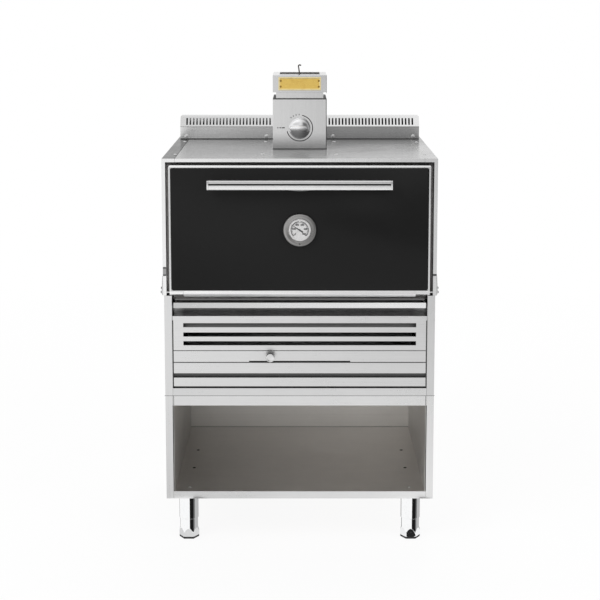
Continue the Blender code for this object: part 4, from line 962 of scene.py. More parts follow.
@dataclass(frozen=True)
class Fastener:
    """A screw, rivet or bolt head; SOCKET has a six-sided recess and HEXAGON a washer."""

    head: Head
    radius: float = 0.0045
    height: float = 0.0026
    washer: float = 0.0

    def surface(self, at: Point, axis: Axis, sign: int) -> Surface:
        """The head on a face that looks along an axis.

        Args:
            at: Where its middle touches the face.
            axis: The face's normal.
            sign: 1 or -1, for the way that it looks.

        Returns:
            The closed surface.
        """
        sides = 18
        rows = np.array(self.head.value)
        radii = np.repeat(rows[:, 1:], sides, axis=1)
        if self.head is Head.SOCKET:
            radii[-2:] *= six_flats(sides) * HEXAGON_SHARE
        if self.head is Head.HEXAGON:
            radii[2:] *= six_flats(sides)
        head = turned(axis, at, sign * rows[:, 0] * self.height, radii * self.radius, sides)
        if not self.washer:
            return head
        ring = np.array([0.0, 0.0009, 0.0012])
        disc = turned(axis, at, sign * ring, [self.washer, self.washer, self.washer - 0.0006], 24)
        return disc + head


def heads(fastener: Fastener, places: Iterable[Point], axis: Axis, sign: int) -> Surface:
    """The same head at several places."""
    return together(fastener.surface(place, axis, sign) for place in places)


CABINET_OUT = BrushedSteel("cabinet_sheet_brushed", grey(0.70), grain=Grain.ALONG_Y)
CABINET_POST = BrushedSteel("cabinet_post_brushed", grey(0.82), grain=Grain.ALONG_Z)
CABINET_RAIL = BrushedSteel("cabinet_rail_brushed", grey(0.82))
# The front panels and posts fade darker towards the right: painted light and shade.
BODY_PANEL = BrushedSteel("body_panel_brushed", grey(0.80), fades=(across(1.02, 0.94),))
BODY_RAIL = BrushedSteel("body_rail_brushed", grey(0.77))
BODY_POST = BrushedSteel("body_post_brushed", grey(0.78), grain=Grain.ALONG_Z, fades=(across(1.03, 0.94),))
BODY_SIDE = BrushedSteel("body_side_brushed", grey(0.70), grain=Grain.ALONG_Y)
# Dark tone on faces deep behind the front: painted shade.
BODY_PAINTED_SHADE = BrushedSteel("body_inside_dark", grey(0.09), roughness=0.42)
# Dark tone on the recessed sill is painted shade, and its brighter ends are painted reflections.
SILL_PAINTED_LIGHT_AND_SHADE = BrushedSteel(
    "recess_sill_mill_finish",
    grey(0.135),
    roughness=0.24,
    fades=(Fade(Axis.X, -0.4475, -0.412, 3.6, 1.0), Fade(Axis.X, 0.40, 0.4475, 1.0, 2.6)),
)
# Dark tone on the louvred panel's return behind the front: painted shade.
RETURN_PAINTED_SHADE = BrushedSteel("panel_return_painted_shade", grey(0.22), roughness=0.32)
# Near-white satin on the ledge top stands in for a bright reflection: a painted sheen.
LEDGE_PAINTED_SHEEN = BrushedSteel("ledge_painted_sheen", grey(0.92), roughness=0.55, metallic=0.15)
# Dark tone in grooves and slots and on the air knob's side: painted shade; the hinge-cover screws wear the
# same dark tone.
GROOVE_SHADE = BrushedSteel("groove_painted_shade", grey(0.12), roughness=0.40)
# Near-black tone in the handle's groove: painted shade.
HANDLE_GROOVE_PAINTED_SHADOW = BrushedSteel("painted_shade_handle_groove", grey(0.05), roughness=0.40)
WASHER = BrushedSteel("fastener_bright", grey(0.76), grain=Grain.NONE, brush_depth=0.00001, metallic=0.85)
# Thin dark lines at joints, gaps and folds: painted shadow lines.
PAINTED_SHADOW_LINE = Enamel("joint_sealant_dark", grey(0.045), roughness=0.6)
GALVANISED = BrushedSteel(
    "back_sheet_plain", (0.52, 0.53, 0.54), grain=Grain.NONE, roughness=0.42, brush_depth=0.00002
)
CHROME = Chrome("leg_chrome_plating")
FOOT_PAD = Enamel("foot_pad_black", grey(0.018), roughness=0.6)
BOLT_STEEL = BrushedSteel("fastener_zinc", (0.62, 0.62, 0.60), grain=Grain.NONE, brush_depth=0.00001)
BACK_SCREW = BrushedSteel(
    "back_screw_zinc", grey(0.26), grain=Grain.NONE, roughness=0.35, brush_depth=0.00001
)
BLACKENED = BrushedSteel("air_parts_blackened", (0.06, 0.058, 0.056), roughness=0.45)


def cabinet_inside(part: str, colour: Colour, *fades: Fade) -> BrushedSteel:
    """The dull finish inside the open cabinet, in lit and shaded copies whose tones and fades are painted
    light and shade.

    Args:
        part: Which sheet it is for.
        colour: Its colour before the fades.
        *fades: How the tone changes over the sheet.

    Returns:
        The finish.
    """
    name = f"cabinet_{part}_painted_light_and_shade"
    return BrushedSteel(
        name, colour, roughness=0.40, brush_depth=0.000001, wave_depth=0.00001, edge_tint=0.8, fades=fades
    )


# Wall, floor and back are lit and shaded copies of one inside sheet, with painted fades across: painted light
# and shade.
INNER_WALL = cabinet_inside("wall", (0.92, 0.905, 0.88), across(0.95, 1.07))
INNER_FLOOR = cabinet_inside("floor", (0.81, 0.78, 0.757), across(0.93, 1.09))
INNER_BACK = cabinet_inside("back", (0.625, 0.615, 0.592), across(0.98, 1.32))


def facing_inside(middles: np.ndarray, normals: np.ndarray) -> np.ndarray:
    """Faces behind the front plane that look towards the middle of the oven."""
    inward = -np.sign(middles[:, 0]) * normals[:, 0] > 0.5
    return inward & (middles[:, 1] > BEHIND_FRONT)


@dataclass
class BaseCabinet:
    """The open cabinet: two sides with posts, floor and deck with rails, back, painted shadow lines at its
    joints, screws.
    """

    floor_top: float = 0.1945
    back_face: float = 0.4657
    inside: float = 0.4478
    outside: float = 0.4800
    deck_low: float = 0.5112
    deck_high: float = 0.5462
    line: float = 0.0009
    lining_low: Point = (0.4478, -0.4080, 0.1946)
    lining_high: Point = (0.4488, 0.4655, 0.5103)
    screw_reach: float = 0.397
    screw_depths: tuple[float, ...] = (0.051, 0.530, 0.292)
    screw: Fastener = Fastener(Head.SOCKET, radius=0.0042, height=0.0022, washer=0.0062)

    def joints(self) -> Surface:
        """Painted shadow lines at the joints: floor to back, deck rail to posts, and the line over the deck
        rail.
        """
        line, front, rear = self.line, FRONT - PROUD, FRONT + SUNK
        strips = [
            block(
                (-self.inside, self.back_face - line, self.floor_top - 0.0002),
                (self.inside, self.back_face + 0.0002, self.floor_top + line),
            ),
            block(
                (-self.outside, front, self.deck_high - 0.0004),
                (self.outside, rear, self.deck_high + line),
            ),
        ]
        for side in (-1, 1):
            x = side * (self.inside + PROUD)
            strips.append(block((x - line, front, self.deck_low), (x + line, rear, self.deck_high)))
        return together(strips)

    def lining(self) -> Surface:
        """The thin sheets inside the two sides, flush with the posts."""
        return both_sides(self.lining_low, self.lining_high)

    def build(self, shop: Workshop) -> None:
        """Dresses the sheets and adds the lining, the painted shadow lines at the joints and the floor's
        screws.
        """
        for side in SIDES:
            zones = [Zone(INNER_WALL, facing_inside), Zone(CABINET_POST, FRONT_PLANE)]
            shop.sheet(f"base_side_{side}", CABINET_OUT, edge=0.0008, zones=zones)
        shop.sheet("base_floor", INNER_FLOOR, edge=0.0008, zones=[Zone(CABINET_RAIL, FRONT_PLANE)])
        shop.sheet("base_top_deck", INNER_WALL, edge=0.0008, zones=[Zone(CABINET_RAIL, FRONT_PLANE)])
        shop.sheet("base_back", GALVANISED, edge=0.0003, zones=[Zone(INNER_BACK, TO_FRONT)])
        shop.piece("base_lining", self.lining(), INNER_WALL, "oven", "cabinet_steel", edge=SEAM_EDGE)
        shop.piece("base_joint_shadow_lines", self.joints(), PAINTED_SHADOW_LINE, "oven", "cabinet_steel", edge=SEAM_EDGE)
        for number, depth in enumerate(self.screw_depths):
            places = [(side * self.screw_reach, FRONT + depth, self.floor_top) for side in (-1, 1)]
            finish = BLACKENED if number else BOLT_STEEL
            surface = heads(self.screw, places, Axis.Z, 1)
            shop.piece(f"base_floor_screws_{number + 1}", surface, finish, "oven", "cabinet_steel")


@dataclass
class Leg:
    """A chrome leg: bolted plate, weld bead, tube with a rolled lower rim, telescopic foot."""

    name: str
    x: float
    y: float
    plate_half: float = 0.054
    plate_low: float = 0.1882
    plate_high: float = 0.1922
    tube: float = 0.035
    tube_bottom: float = 0.0746
    sleeve: float = 0.0325
    sleeve_top: float = 0.1344
    hexagon: float = 0.036
    hexagon_top: float = 0.0330
    pad_high: float = 0.0078
    foot_sides: int = 72
    bolt: Fastener = Fastener(Head.HEXAGON, radius=0.0058, height=0.0045, washer=0.0085)

    def leg(self) -> Surface:
        """The plate, its bolts, the weld bead and the tube, whose lower rim is rounded."""
        outline = rounded_rectangle(
            (self.x - self.plate_half, self.y - self.plate_half),
            (self.x + self.plate_half, self.y + self.plate_half),
            0.008,
        )
        plate = carried(Axis.Z, outline, self.plate_low, self.plate_high)
        bead = np.linspace(0, math.pi / 2, 5)
        bottom, bore = self.tube_bottom, self.sleeve + 0.0006
        along = [bottom + 0.0050, bottom + 0.0004, bottom, bottom + 0.0008, bottom + 0.0024]
        radii = [bore, bore, bore + 0.0006, self.tube - 0.0003, self.tube]
        along += [self.plate_low - 0.006, *(self.plate_low - 0.004 * np.cos(bead))]
        radii += [self.tube, *(self.tube + 0.004 * np.sin(bead))]
        tube = turned(Axis.Z, (self.x, self.y, 0), along, radii, 56)
        spread = self.plate_half - 0.011
        places = [
            (self.x + i * spread, self.y + j * spread, self.plate_low) for i in (-1, 1) for j in (-1, 1)
        ]
        return plate + tube + heads(self.bolt, places, Axis.Z, -1)

    def foot(self) -> Surface:
        """A hexagon with turned-down corners, flaring out of the sleeve above it."""
        sides, top = self.foot_sides, self.hexagon_top
        hexagon = self.hexagon * HEXAGON_SHARE * six_flats(sides)
        rows = [
            (self.pad_high, np.minimum(hexagon, self.hexagon - 0.0012)),
            (self.pad_high + 0.0012, hexagon),
            (top - 0.0070, hexagon),
            (top - 0.0040, np.minimum(hexagon, self.hexagon - 0.0007)),
            (top, np.minimum(hexagon + 0.0006, self.hexagon - 0.0019)),
            (top + 0.0052, np.full(sides, self.sleeve + 0.0001)),
            (top + 0.0070, np.full(sides, self.sleeve)),
            (self.sleeve_top, np.full(sides, self.sleeve)),
        ]
        along = [row[0] for row in rows]
        return turned(Axis.Z, (self.x, self.y, 0), along, np.stack([row[1] for row in rows]), sides)

    def pad(self) -> Surface:
        """The black shoe under the hexagon, with the same six sides."""
        hexagon = self.hexagon * HEXAGON_SHARE * six_flats(self.foot_sides)
        rows = [hexagon - 0.0016, hexagon - 0.0004, hexagon - 0.0004]
        along = [0.0, 0.0008, self.pad_high]
        return turned(Axis.Z, (self.x, self.y, 0), along, np.stack(rows), self.foot_sides)

    def build(self, shop: Workshop) -> None:
        """Makes the leg, the foot and the pad."""
        shop.piece(f"leg_tube_{self.name}", self.leg(), CHROME, "oven", "leg_chrome", [f"leg_{self.name}"])
        body = f"levelling_foot_{self.name}"
        foot = [f"foot_{self.name}"]
        shop.piece(f"foot_hexagon_{self.name}", self.foot(), CHROME, body, "foot_chrome", foot)
        shop.piece(f"foot_pad_{self.name}", self.pad(), FOOT_PAD, body, "foot_chrome")


@dataclass
class LowerBody:
    """The part between cabinet and fire box: posts, louvred panel, sill, floor, back."""

    hem_low: Point = (-0.4494, -0.4102, 0.8190)
    hem_high: Point = (0.4494, -0.4080, 0.8350)
    gap_x: tuple[float, float] = (0.4464, 0.4507)
    gap_y: tuple[float, float] = (-0.4103, -0.4092)
    gap_z: tuple[float, float] = (0.6667, 0.8188)
    seam_top: float = 0.6694

    def gaps(self) -> Surface:
        """Painted shadow lines in the gaps beside the louvred panel and over the drawer."""
        (inner, outer), (near, far), (low, high) = self.gap_x, self.gap_y, self.gap_z
        seam = block((-inner, near, low), (inner, far, self.seam_top))
        return both_sides((inner, near, low), (outer, far, high)) + seam

    def build(self, shop: Workshop) -> None:
        """Dresses the sheets, with painted shade on the faces behind the front, and adds the hem of the
        louvred panel.
        """
        deep = Faces(None, ((Axis.Y, -0.375, 1.0),))
        for side in SIDES:
            zones = [
                Zone(BODY_POST, facing_inside),
                Zone(BODY_PAINTED_SHADE, lambda at, way: facing_inside(at, way) & deep(at, way)),
                Zone(BODY_POST, FRONT_PLANE),
            ]
            shop.sheet(f"body_side_{side}", BODY_SIDE, edge=0.0008, zones=zones)
        shop.sheet("body_floor", BODY_PAINTED_SHADE, edge=0.0006, zones=[Zone(BODY_RAIL, FRONT_PLANE)])
        ledge = Faces((Axis.Z, 1), ((Axis.Z, 0.81, 0.83),))
        returned = Faces(None, ((Axis.Y, BEHIND_FRONT, -0.3), (Axis.Z, 0.70, 0.822)))
        zones = [Zone(RETURN_PAINTED_SHADE, returned), Zone(LEDGE_PAINTED_SHEEN, ledge)]
        shop.sheet("louvre_panel", BODY_PANEL, edge=0.0006, zones=zones)
        hem = block(self.hem_low, self.hem_high)
        shop.piece("louvre_panel_hem", hem, BODY_PANEL, "oven", "body_steel", edge=0.0009)
        shop.piece("panel_gap_shadow_lines", self.gaps(), PAINTED_SHADOW_LINE, "oven", "body_steel", edge=SEAM_EDGE)
        shop.sheet("recess_sill", SILL_PAINTED_LIGHT_AND_SHADE, edge=0.0005)
        shop.sheet("body_back", GALVANISED, edge=0.0003, zones=[Zone(BODY_PAINTED_SHADE, TO_FRONT)])


@dataclass
class BackScrews:
    """The screws round the edges of the two back sheets."""

    face: float = 0.4677
    edge: float = 0.4400
    inset: float = 0.0110
    pitch: float = 0.13
    columns: int = 8
    sheets: tuple[tuple[str, float, float], ...] = (
        ("cabinet", 0.1677, 0.5462),
        ("body", 0.5465, 1.3903),
    )
    screw: Fastener = Fastener(Head.SOCKET, radius=0.0056, height=0.0020)

    def places(self, low: float, high: float) -> list[Point]:
        """Even steps up both edges of a sheet, and along its head and foot."""
        heights = np.linspace(low + self.inset, high - self.inset, round((high - low) / self.pitch) + 1)
        across_back = np.linspace(-self.edge, self.edge, self.columns)[1:-1]
        upright = [(side * self.edge, self.face, z) for z in heights for side in (-1, 1)]
        return upright + [(x, self.face, z) for z in (heights[0], heights[-1]) for x in across_back]

    def build(self, shop: Workshop) -> None:
        """Makes the screws of each sheet."""
        for part, low, high in self.sheets:
            surface = heads(self.screw, self.places(low, high), Axis.Y, 1)
            shop.piece(f"{part}_back_screws", surface, BACK_SCREW, "oven", f"{part}_steel")


@dataclass
class AshDrawer:
    """The drawer's grooved front and its box."""

    edge_low: Point = (0.4464, -0.4103, 0.5806)
    edge_high: Point = (0.4484, -0.4092, 0.6662)

    def edges(self) -> Surface:
        """Painted shadow lines up both edges of the front."""
        return both_sides(self.edge_low, self.edge_high)

    def build(self, shop: Workshop) -> None:
        """Dresses both; ash has dulled the inside of the box."""
        groove = Faces(None, ((Axis.Y, FRONT + 0.0005, FRONT + 0.03), (Axis.Z, 0.611, 0.6295)))
        shop.sheet("ash_drawer_front", BODY_PANEL, edge=0.0008, zones=[Zone(GROOVE_SHADE, groove)])
        shop.piece("ash_drawer_edge_shadow_lines", self.edges(), PAINTED_SHADOW_LINE, "ash_drawer", "drawer_steel", edge=SEAM_EDGE)
        ash = Cast(
            "ash_drawer_dulled",
            (0.36, 0.35, 0.34),
            deposit=(0.22, 0.21, 0.20),
            roughness=0.5,
            metallic=0.8,
            pore=160.0,
            depth=0.0001,
        )
        bottom = Faces((Axis.Z, 1), ((Axis.Z, 0.57, 0.60),))
        shop.sheet("ash_drawer_box", GALVANISED, edge=0.0004, zones=[Zone(ash, bottom)])


@dataclass
class AirControl:
    """The air fascia, its ports, the shutter and the small turned knob that moves it."""

    x: float = -0.104
    z: float = 0.6916
    face: float = -0.450
    radius: float = 0.015
    shoulder: float = -0.4372
    neck: float = 0.0096
    root: float = -0.4243

    def knob(self) -> Surface:
        """A disc with a rounded rim and a shallow dished face, on a neck with a fillet."""
        bead, dip = 0.0024, 0.0010
        rows = [(self.face + dip, 0.0)]
        for share in (0.15, 0.45, 0.75):
            rows.append((self.face + dip * (1 - 0.9 * share**2), share * self.radius))
        for turn in np.linspace(0, math.pi / 2, 6):
            depth = self.face + bead * (1 - math.cos(turn))
            rows.append((depth, self.radius - bead * (1 - math.sin(turn))))
        rows += [
            (self.shoulder - 0.0012, self.radius),
            (self.shoulder, self.radius - 0.0010),
            (self.shoulder, self.neck + 0.0016),
            (self.shoulder + 0.0020, self.neck),
            (self.root, self.neck),
        ]
        along, radii = zip(*rows)
        return turned(Axis.Y, (self.x, 0, self.z), along, radii, 64)

    def build(self, shop: Workshop) -> None:
        """Dresses the sheets and makes the knob."""
        shop.sheet("air_fascia", BODY_PANEL, edge=0.0006)
        shop.sheet("air_port_plate", BLACKENED, edge=0.0003)
        shop.sheet("air_shutter", BLACKENED, edge=0.0003)
        knob = BrushedSteel(
            "air_knob_turned", grey(0.80), grain=Grain.NONE, roughness=0.16, brush_depth=0.00001
        )
        # The knob's side is darker than its face: painted shade.
        side = Zone(GROOVE_SHADE, Faces(None, ((Axis.Y, self.face + 0.0016, self.root),)))
        shop.piece(
            "air_knob_turned", self.knob(), knob, "air_slide", "air_knob_steel", ["air_knob"], zones=[side]
        )


@dataclass
class CrumbTray:
    """The tray with its full-width lip under the door."""

    def build(self, shop: Workshop) -> None:
        """Dresses the tray: bright lip and dull inside, both with painted light and shade."""
        # The lip fades darker to the left, and the pale inside stands in for light under the door: painted
        # light and shade.
        lip = BrushedSteel(
            "tray_lip_brushed", grey(0.96), roughness=0.24, edge_tint=1.0, fades=(across(0.62, 1.15),)
        )
        dull = BrushedSteel("tray_inside_painted_light", grey(0.95), roughness=0.42, metallic=0.5)
        behind_lip = Faces(None, ((Axis.Y, -0.405, 0.0),))
        shop.sheet("crumb_tray", lip, edge=0.0012, zones=[Zone(dull, behind_lip)])


CASING_SIDE = BrushedSteel("casing_side_brushed", grey(0.70), grain=Grain.ALONG_Y)
# The casing's front edges fade darker towards the right: painted light and shade.
CASING_FRONT = BrushedSteel(
    "casing_front_edge",
    grey(0.92),
    grain=Grain.ALONG_Z,
    roughness=0.26,
    edge_tint=1.0,
    fades=(across(1.06, 0.86),),
)
# The top sheet fades darker to the left and towards the back: painted light and shade.
TOP_SHEET = BrushedSteel(
    "top_sheet_brushed",
    grey(0.40),
    roughness=0.22,
    brush_depth=0.000004,
    wave_depth=0.0003,
    edge_tint=0.72,
    metallic=0.2,
    fades=(across(0.60, 1.02), Fade(Axis.Y, 0.03, 0.27, 1.0, 0.4)),
)
# The left flange is a darker copy of the top sheet: painted shade.
TOP_FLANGES = {
    "left": BrushedSteel(
        "top_flange_left_painted_shade",
        grey(0.34),
        grain=Grain.ALONG_Y,
        roughness=0.20,
        brush_depth=0.000004,
        wave_depth=0.0006,
        edge_tint=0.45,
    ),
    "right": TOP_SHEET,
}
# The mouth frame's tone is set for the light in the door gap, lighter on the left and darker under its top:
# painted light and shade.
MOUTH_STEEL = BrushedSteel(
    "mouth_painted_light_shade",
    (0.42, 0.41, 0.40),
    roughness=0.45,
    metallic=0.3,
    fades=(across(1.6, 0.95), Fade(Axis.Z, 1.350, 1.372, 1.0, 0.30)),
)
# The chimney fades darker towards its foot and to the right: painted shade.
CHIMNEY_STEEL = BrushedSteel(
    "chimney_brushed",
    grey(0.82),
    grain=Grain.ALONG_Z,
    roughness=0.20,
    brush_depth=0.000008,
    fades=(Fade(Axis.Z, 1.393, 1.452, 0.62, 1.0), Fade(Axis.X, -0.08, 0.09, 1.0, 0.93)),
)
CHIMNEY_TOP = BrushedSteel("chimney_top_smoked", grey(0.05), roughness=0.45)
# The vent rails fade darker to the left and their plates darker to the right: painted light and shade.
VENT_STEEL = BrushedSteel(
    "vent_brushed", grey(0.80), roughness=0.22, brush_depth=0.000005, fades=(across(0.80, 1.0),)
)
VENT_PLATE = BrushedSteel(
    "vent_plate_brushed",
    grey(0.80),
    roughness=0.18,
    brush_depth=0.000001,
    wave_depth=0.0001,
    fades=(Fade(Axis.X, -0.45, -0.12, 1.14, 0.86), Fade(Axis.X, -0.10, 0.10, 1.0, 0.72)),
)
FILTER_STEEL = BrushedSteel(
    "filter_smoked", (0.16, 0.15, 0.14), grain=Grain.NONE, roughness=0.40, brush_depth=0.00002
)
PRINT_BLACK = Enamel("scale_print_black", grey(0.012), roughness=0.45)
SOOTED_IRON = Cast(
    "sooted_iron", (0.10, 0.095, 0.09), deposit=(0.022, 0.020, 0.018), roughness=0.62, metallic=0.7
)


@dataclass
class Casing:
    """The outer covers of the fire box, the mouth frame and the screws of the top."""

    top: float = 1.3926
    screw_places: tuple[tuple[float, float], ...] = (
        (-0.444, 0.140),
        (-0.132, 0.156),
        (0.131, 0.147),
        (0.447, 0.147),
        (-0.445, 0.652),
        (-0.132, 0.652),
        (0.133, 0.652),
        (0.451, 0.634),
    )
    block_low: Point = (-0.4805, -0.4112, 0.9785)
    block_high: Point = (-0.4692, -0.4085, 1.0106)
    block_end: float = 0.0062
    flange_x: float = 0.4358
    flange_ends: tuple[float, float] = (-0.4070, 0.3540)
    flange_line: float = 0.0026
    slot_low: Point = (0.4684, -0.4112, 0.9785)
    slot_high: Point = (0.4819, -0.4085, 0.9857)
    screw: Fastener = Fastener(Head.SOCKET, radius=0.0048, height=0.0026, washer=0.0072)

    def build(self, shop: Workshop) -> None:
        """Dresses the covers and adds the screws."""
        for side in SIDES:
            zones = [Zone(TOP_FLANGES[side], TO_TOP), Zone(CASING_FRONT, FRONT_PLANE)]
            shop.sheet(f"side_cover_{side}", CASING_SIDE, edge=0.0009, zones=zones)
        shop.sheet("top_cover", TOP_SHEET, edge=0.0009, zones=[Zone(CASING_FRONT, FRONT_PLANE)])
        shop.sheet("mouth_frame", MOUTH_STEEL, edge=0.0006)
        places = [(x, FRONT + depth, self.top) for x, depth in self.screw_places]
        shop.piece(
            "top_cover_screws", heads(self.screw, places, Axis.Z, 1), WASHER, "oven", "casing_steel"
        )
        # The left flange line is a painted shadow line, and the right one a painted highlight in bright zinc.
        for side, sign, finish in (("left", -1, PAINTED_SHADOW_LINE), ("right", 1, BOLT_STEEL)):
            line = self.flange_joint(sign)
            shop.piece(f"top_flange_joint_{side}", line, finish, "oven", "casing_steel", edge=SEAM_EDGE)
        stop = BrushedSteel("door_stop_satin", grey(0.42), grain=Grain.ALONG_Z, roughness=0.34)
        low, high, end = self.block_low, self.block_high, self.block_end
        left = together(
            block((low[0], low[1], bottom), (high[0], high[1], top))
            for bottom, top in (
                (low[2], low[2] + end),
                (low[2] + end, high[2] - end),
                (high[2] - end, high[2]),
            )
        )
        # The stop's foot and head are painted dark: painted shade.
        shade = BrushedSteel("door_stop_painted_shade", grey(0.16), grain=Grain.ALONG_Z, roughness=0.34)
        foot = Faces(None, ((Axis.Z, low[2] - end, low[2] + end),))
        head = Faces(None, ((Axis.Z, high[2] - end, high[2] + end),))
        zones = [Zone(shade, foot), Zone(shade, head)]
        shop.piece("door_stop_left", left, stop, "oven", "casing_steel", edge=0.0008, zones=zones)
        # The right stop is a dark slot drawn in the painted groove shade.
        right = block(self.slot_low, self.slot_high)
        shop.piece("door_stop_right", right, GROOVE_SHADE, "oven", "casing_steel", edge=0.0010)

    def flange_joint(self, side: int) -> Surface:
        """The line along the top where a side cover's flange meets the top cover, painted as shade on the
        left and as a highlight on the right.
        """
        near, far = self.flange_ends
        middle, half = side * self.flange_x, self.flange_line / 2
        return block((middle - half, near, self.top - 0.0010), (middle + half, far, self.top + 0.0002))


@dataclass
class HingeCovers:
    """The blocks outside the casing over the hinge pins, each held by two screws."""

    outer: float = 0.4868
    foot_z: float = 0.9183
    top_z: float = 0.9783
    slant: float = 0.0035
    screw_depths: tuple[float, float] = (0.014, 0.106)
    screw_heights: tuple[float, float] = (0.9189, 0.9340)
    screw: Fastener = Fastener(Head.SOCKET, radius=0.0042, height=0.0034)

    def face(self, z: float) -> float:
        """How far out the slanted face is at a height."""
        return self.outer - self.slant * max(z - self.foot_z, 0) / (self.top_z - self.foot_z)

    def build(self, shop: Workshop) -> None:
        """Dresses the covers and adds their screws."""
        for side, sign in SIDES.items():
            shop.sheet(f"hinge_cover_{side}", CASING_SIDE, edge=0.0010)
            places = [
                (sign * self.face(z), FRONT + depth, z)
                for z in self.screw_heights
                for depth in self.screw_depths
            ]
            surface = heads(self.screw, places, Axis.X, sign)
            shop.piece(f"hinge_cover_screws_{side}", surface, GROOVE_SHADE, "oven", "hinge_cover_steel")


@dataclass
class Chimney:
    """The damper housing with its printed scale, the spark trap, filter and brass blank."""

    face: float = -0.0687
    damper_z: float = 1.4709
    scale_radius: float = 0.0475
    line: float = 0.0032
    print_thick: float = 0.00015
    closed_end: float = math.radians(90)
    open_end: float = math.radians(-166)
    blank_low: Point = (-0.078, -0.0710, 1.6092)
    blank_high: Point = (0.078, -0.0690, 1.6581)
    blank_border: float = 0.0060
    blank_raise: float = 0.0009
    screw_x: float = 0.0695
    screw_rise: float = 0.0106
    half_width: float = 0.0988
    foot_z: float = 1.3929
    head_z: float = 1.5790
    trap_z: tuple[float, float] = (1.5985, 1.6640)
    rear: float = 0.1880
    joint: float = 0.0030
    fold: float = 0.0024
    bead: float = 0.0006
    line_proud: float = 0.0002
    screw: Fastener = Fastener(Head.SOCKET, radius=0.0036, height=0.0016)

    def joints(self) -> Surface:
        """Painted shadow lines at the housing's foot and head, and up the folds of its right edge."""
        half, face, out, proud = self.half_width, self.face, self.bead, self.line_proud
        foot, top, rear = self.foot_z, self.foot_z + self.joint, self.face + SUNK
        low, high = self.trap_z
        return together(
            [
                block((-half, face - proud, self.head_z - self.joint), (half, rear, self.head_z)),
                block((half - self.fold / 2, face - proud, low), (half + proud / 2, rear, high)),
                block((-half - out, face - out, foot), (half + out, rear, top)),
                block((-half - out, face, foot), (-half + SUNK, self.rear, top)),
                block((half - SUNK, face, foot), (half + out, self.rear, top)),
                block((half - self.fold, face - proud, top), (half + proud, rear, self.head_z)),
            ]
        )

    def scale(self) -> Surface:
        """The arc from open to closed, four ticks between the two, and dashes beside it."""
        centre = (0.0, self.face, self.damper_z)
        half = self.line / 2
        parts = [
            arc_band(
                centre,
                self.scale_radius - half,
                self.scale_radius + half,
                self.open_end,
                self.closed_end - 0.19,
                self.print_thick,
                96,
            )
        ]
        inner, outer = self.scale_radius - 0.0002, self.scale_radius + 0.0052
        for angle in np.radians([91, 104, 116, 128]):
            parts.append(arc_band(centre, inner, outer, angle, angle + 0.05, self.print_thick, 3))
        for low, high in ((-0.0828, -0.0785), (-0.0740, -0.0680), (-0.0655, -0.0545)):
            parts.append(
                block(
                    (low, self.face - self.print_thick, self.damper_z - 0.0006),
                    (high, self.face, self.damper_z + 0.0030),
                )
            )
        return together(parts)

    @property
    def blank_middle(self) -> float:
        """The height of the blank's middle."""
        return (self.blank_low[2] + self.blank_high[2]) / 2

    def blank(self) -> Surface:
        """A plate with a raised, bevelled border: nested rectangles at changing heights."""
        half_x, half_z = self.blank_high[0], (self.blank_high[2] - self.blank_low[2]) / 2
        back, front = self.blank_high[1], self.blank_low[1]
        border, rise = self.blank_border, self.blank_raise
        insets = np.array([0.0, 0.0, 0.0008, border - 0.0012, border, 0.4 * half_z])
        depths = np.array([back, front + 0.0006, front, front, front + rise, front + rise])
        rings = [
            rounded_rectangle(
                (-(half_z - inset), -(half_x - inset)), (half_z - inset, half_x - inset), 0.0022, 5
            )
            for inset in insets
        ]
        placed = [
            Axis.Y.place(np.array(depth), ring[:, 0] + self.blank_middle, ring[:, 1])
            for ring, depth in zip(rings, depths)
        ]
        return tube(np.stack(placed))

    def on_border(self, middles: np.ndarray, normals: np.ndarray) -> np.ndarray:
        """Faces of the blank's raised border, by the distance of their middles from its edge."""
        inner_x = self.blank_high[0] - self.blank_border
        inner_z = self.blank_high[2] - self.blank_middle - self.blank_border
        outside = np.abs(middles[:, 0]) > inner_x
        return outside | (np.abs(middles[:, 2] - self.blank_middle) > inner_z)

    def build(self, shop: Workshop) -> None:
        """Dresses the sheets and makes the scale, the blank and its screws."""
        shop.sheet("damper_housing", CHIMNEY_STEEL, edge=0.0009, zones=[Zone(CHIMNEY_TOP, TO_TOP)])
        shop.sheet("spark_trap", CHIMNEY_STEEL, edge=0.0007)
        shop.sheet("spark_filter", FILTER_STEEL, edge=0.0002)
        shop.piece("damper_housing_shadow_lines", self.joints(), PAINTED_SHADOW_LINE, "oven", "chimney_steel", edge=SEAM_EDGE)
        shop.piece("damper_scale", self.scale(), PRINT_BLACK, "oven", "chimney_steel")
        brass = Brass("blank_brass_brushed")
        border = Zone(Brass("blank_border_worn", (0.98, 0.84, 0.46), (0.80, 0.62, 0.28)), self.on_border)
        plate, slot = self.blank(), "blank_brass"
        shop.piece("brass_blank", plate, brass, "oven", slot, ["name_blank"], sharp=28, zones=[border])
        front = self.blank_low[1] + self.blank_raise
        places = [
            (side * self.screw_x, front, self.blank_middle + end * self.screw_rise)
            for side in SIDES.values()
            for end in (-1, 1)
        ]
        dark_brass = Brass("blank_screws_browned", (0.42, 0.25, 0.06), (0.20, 0.12, 0.04))
        shop.piece(
            "brass_blank_screws", heads(self.screw, places, Axis.Y, -1), dark_brass, "oven", "blank_brass"
        )


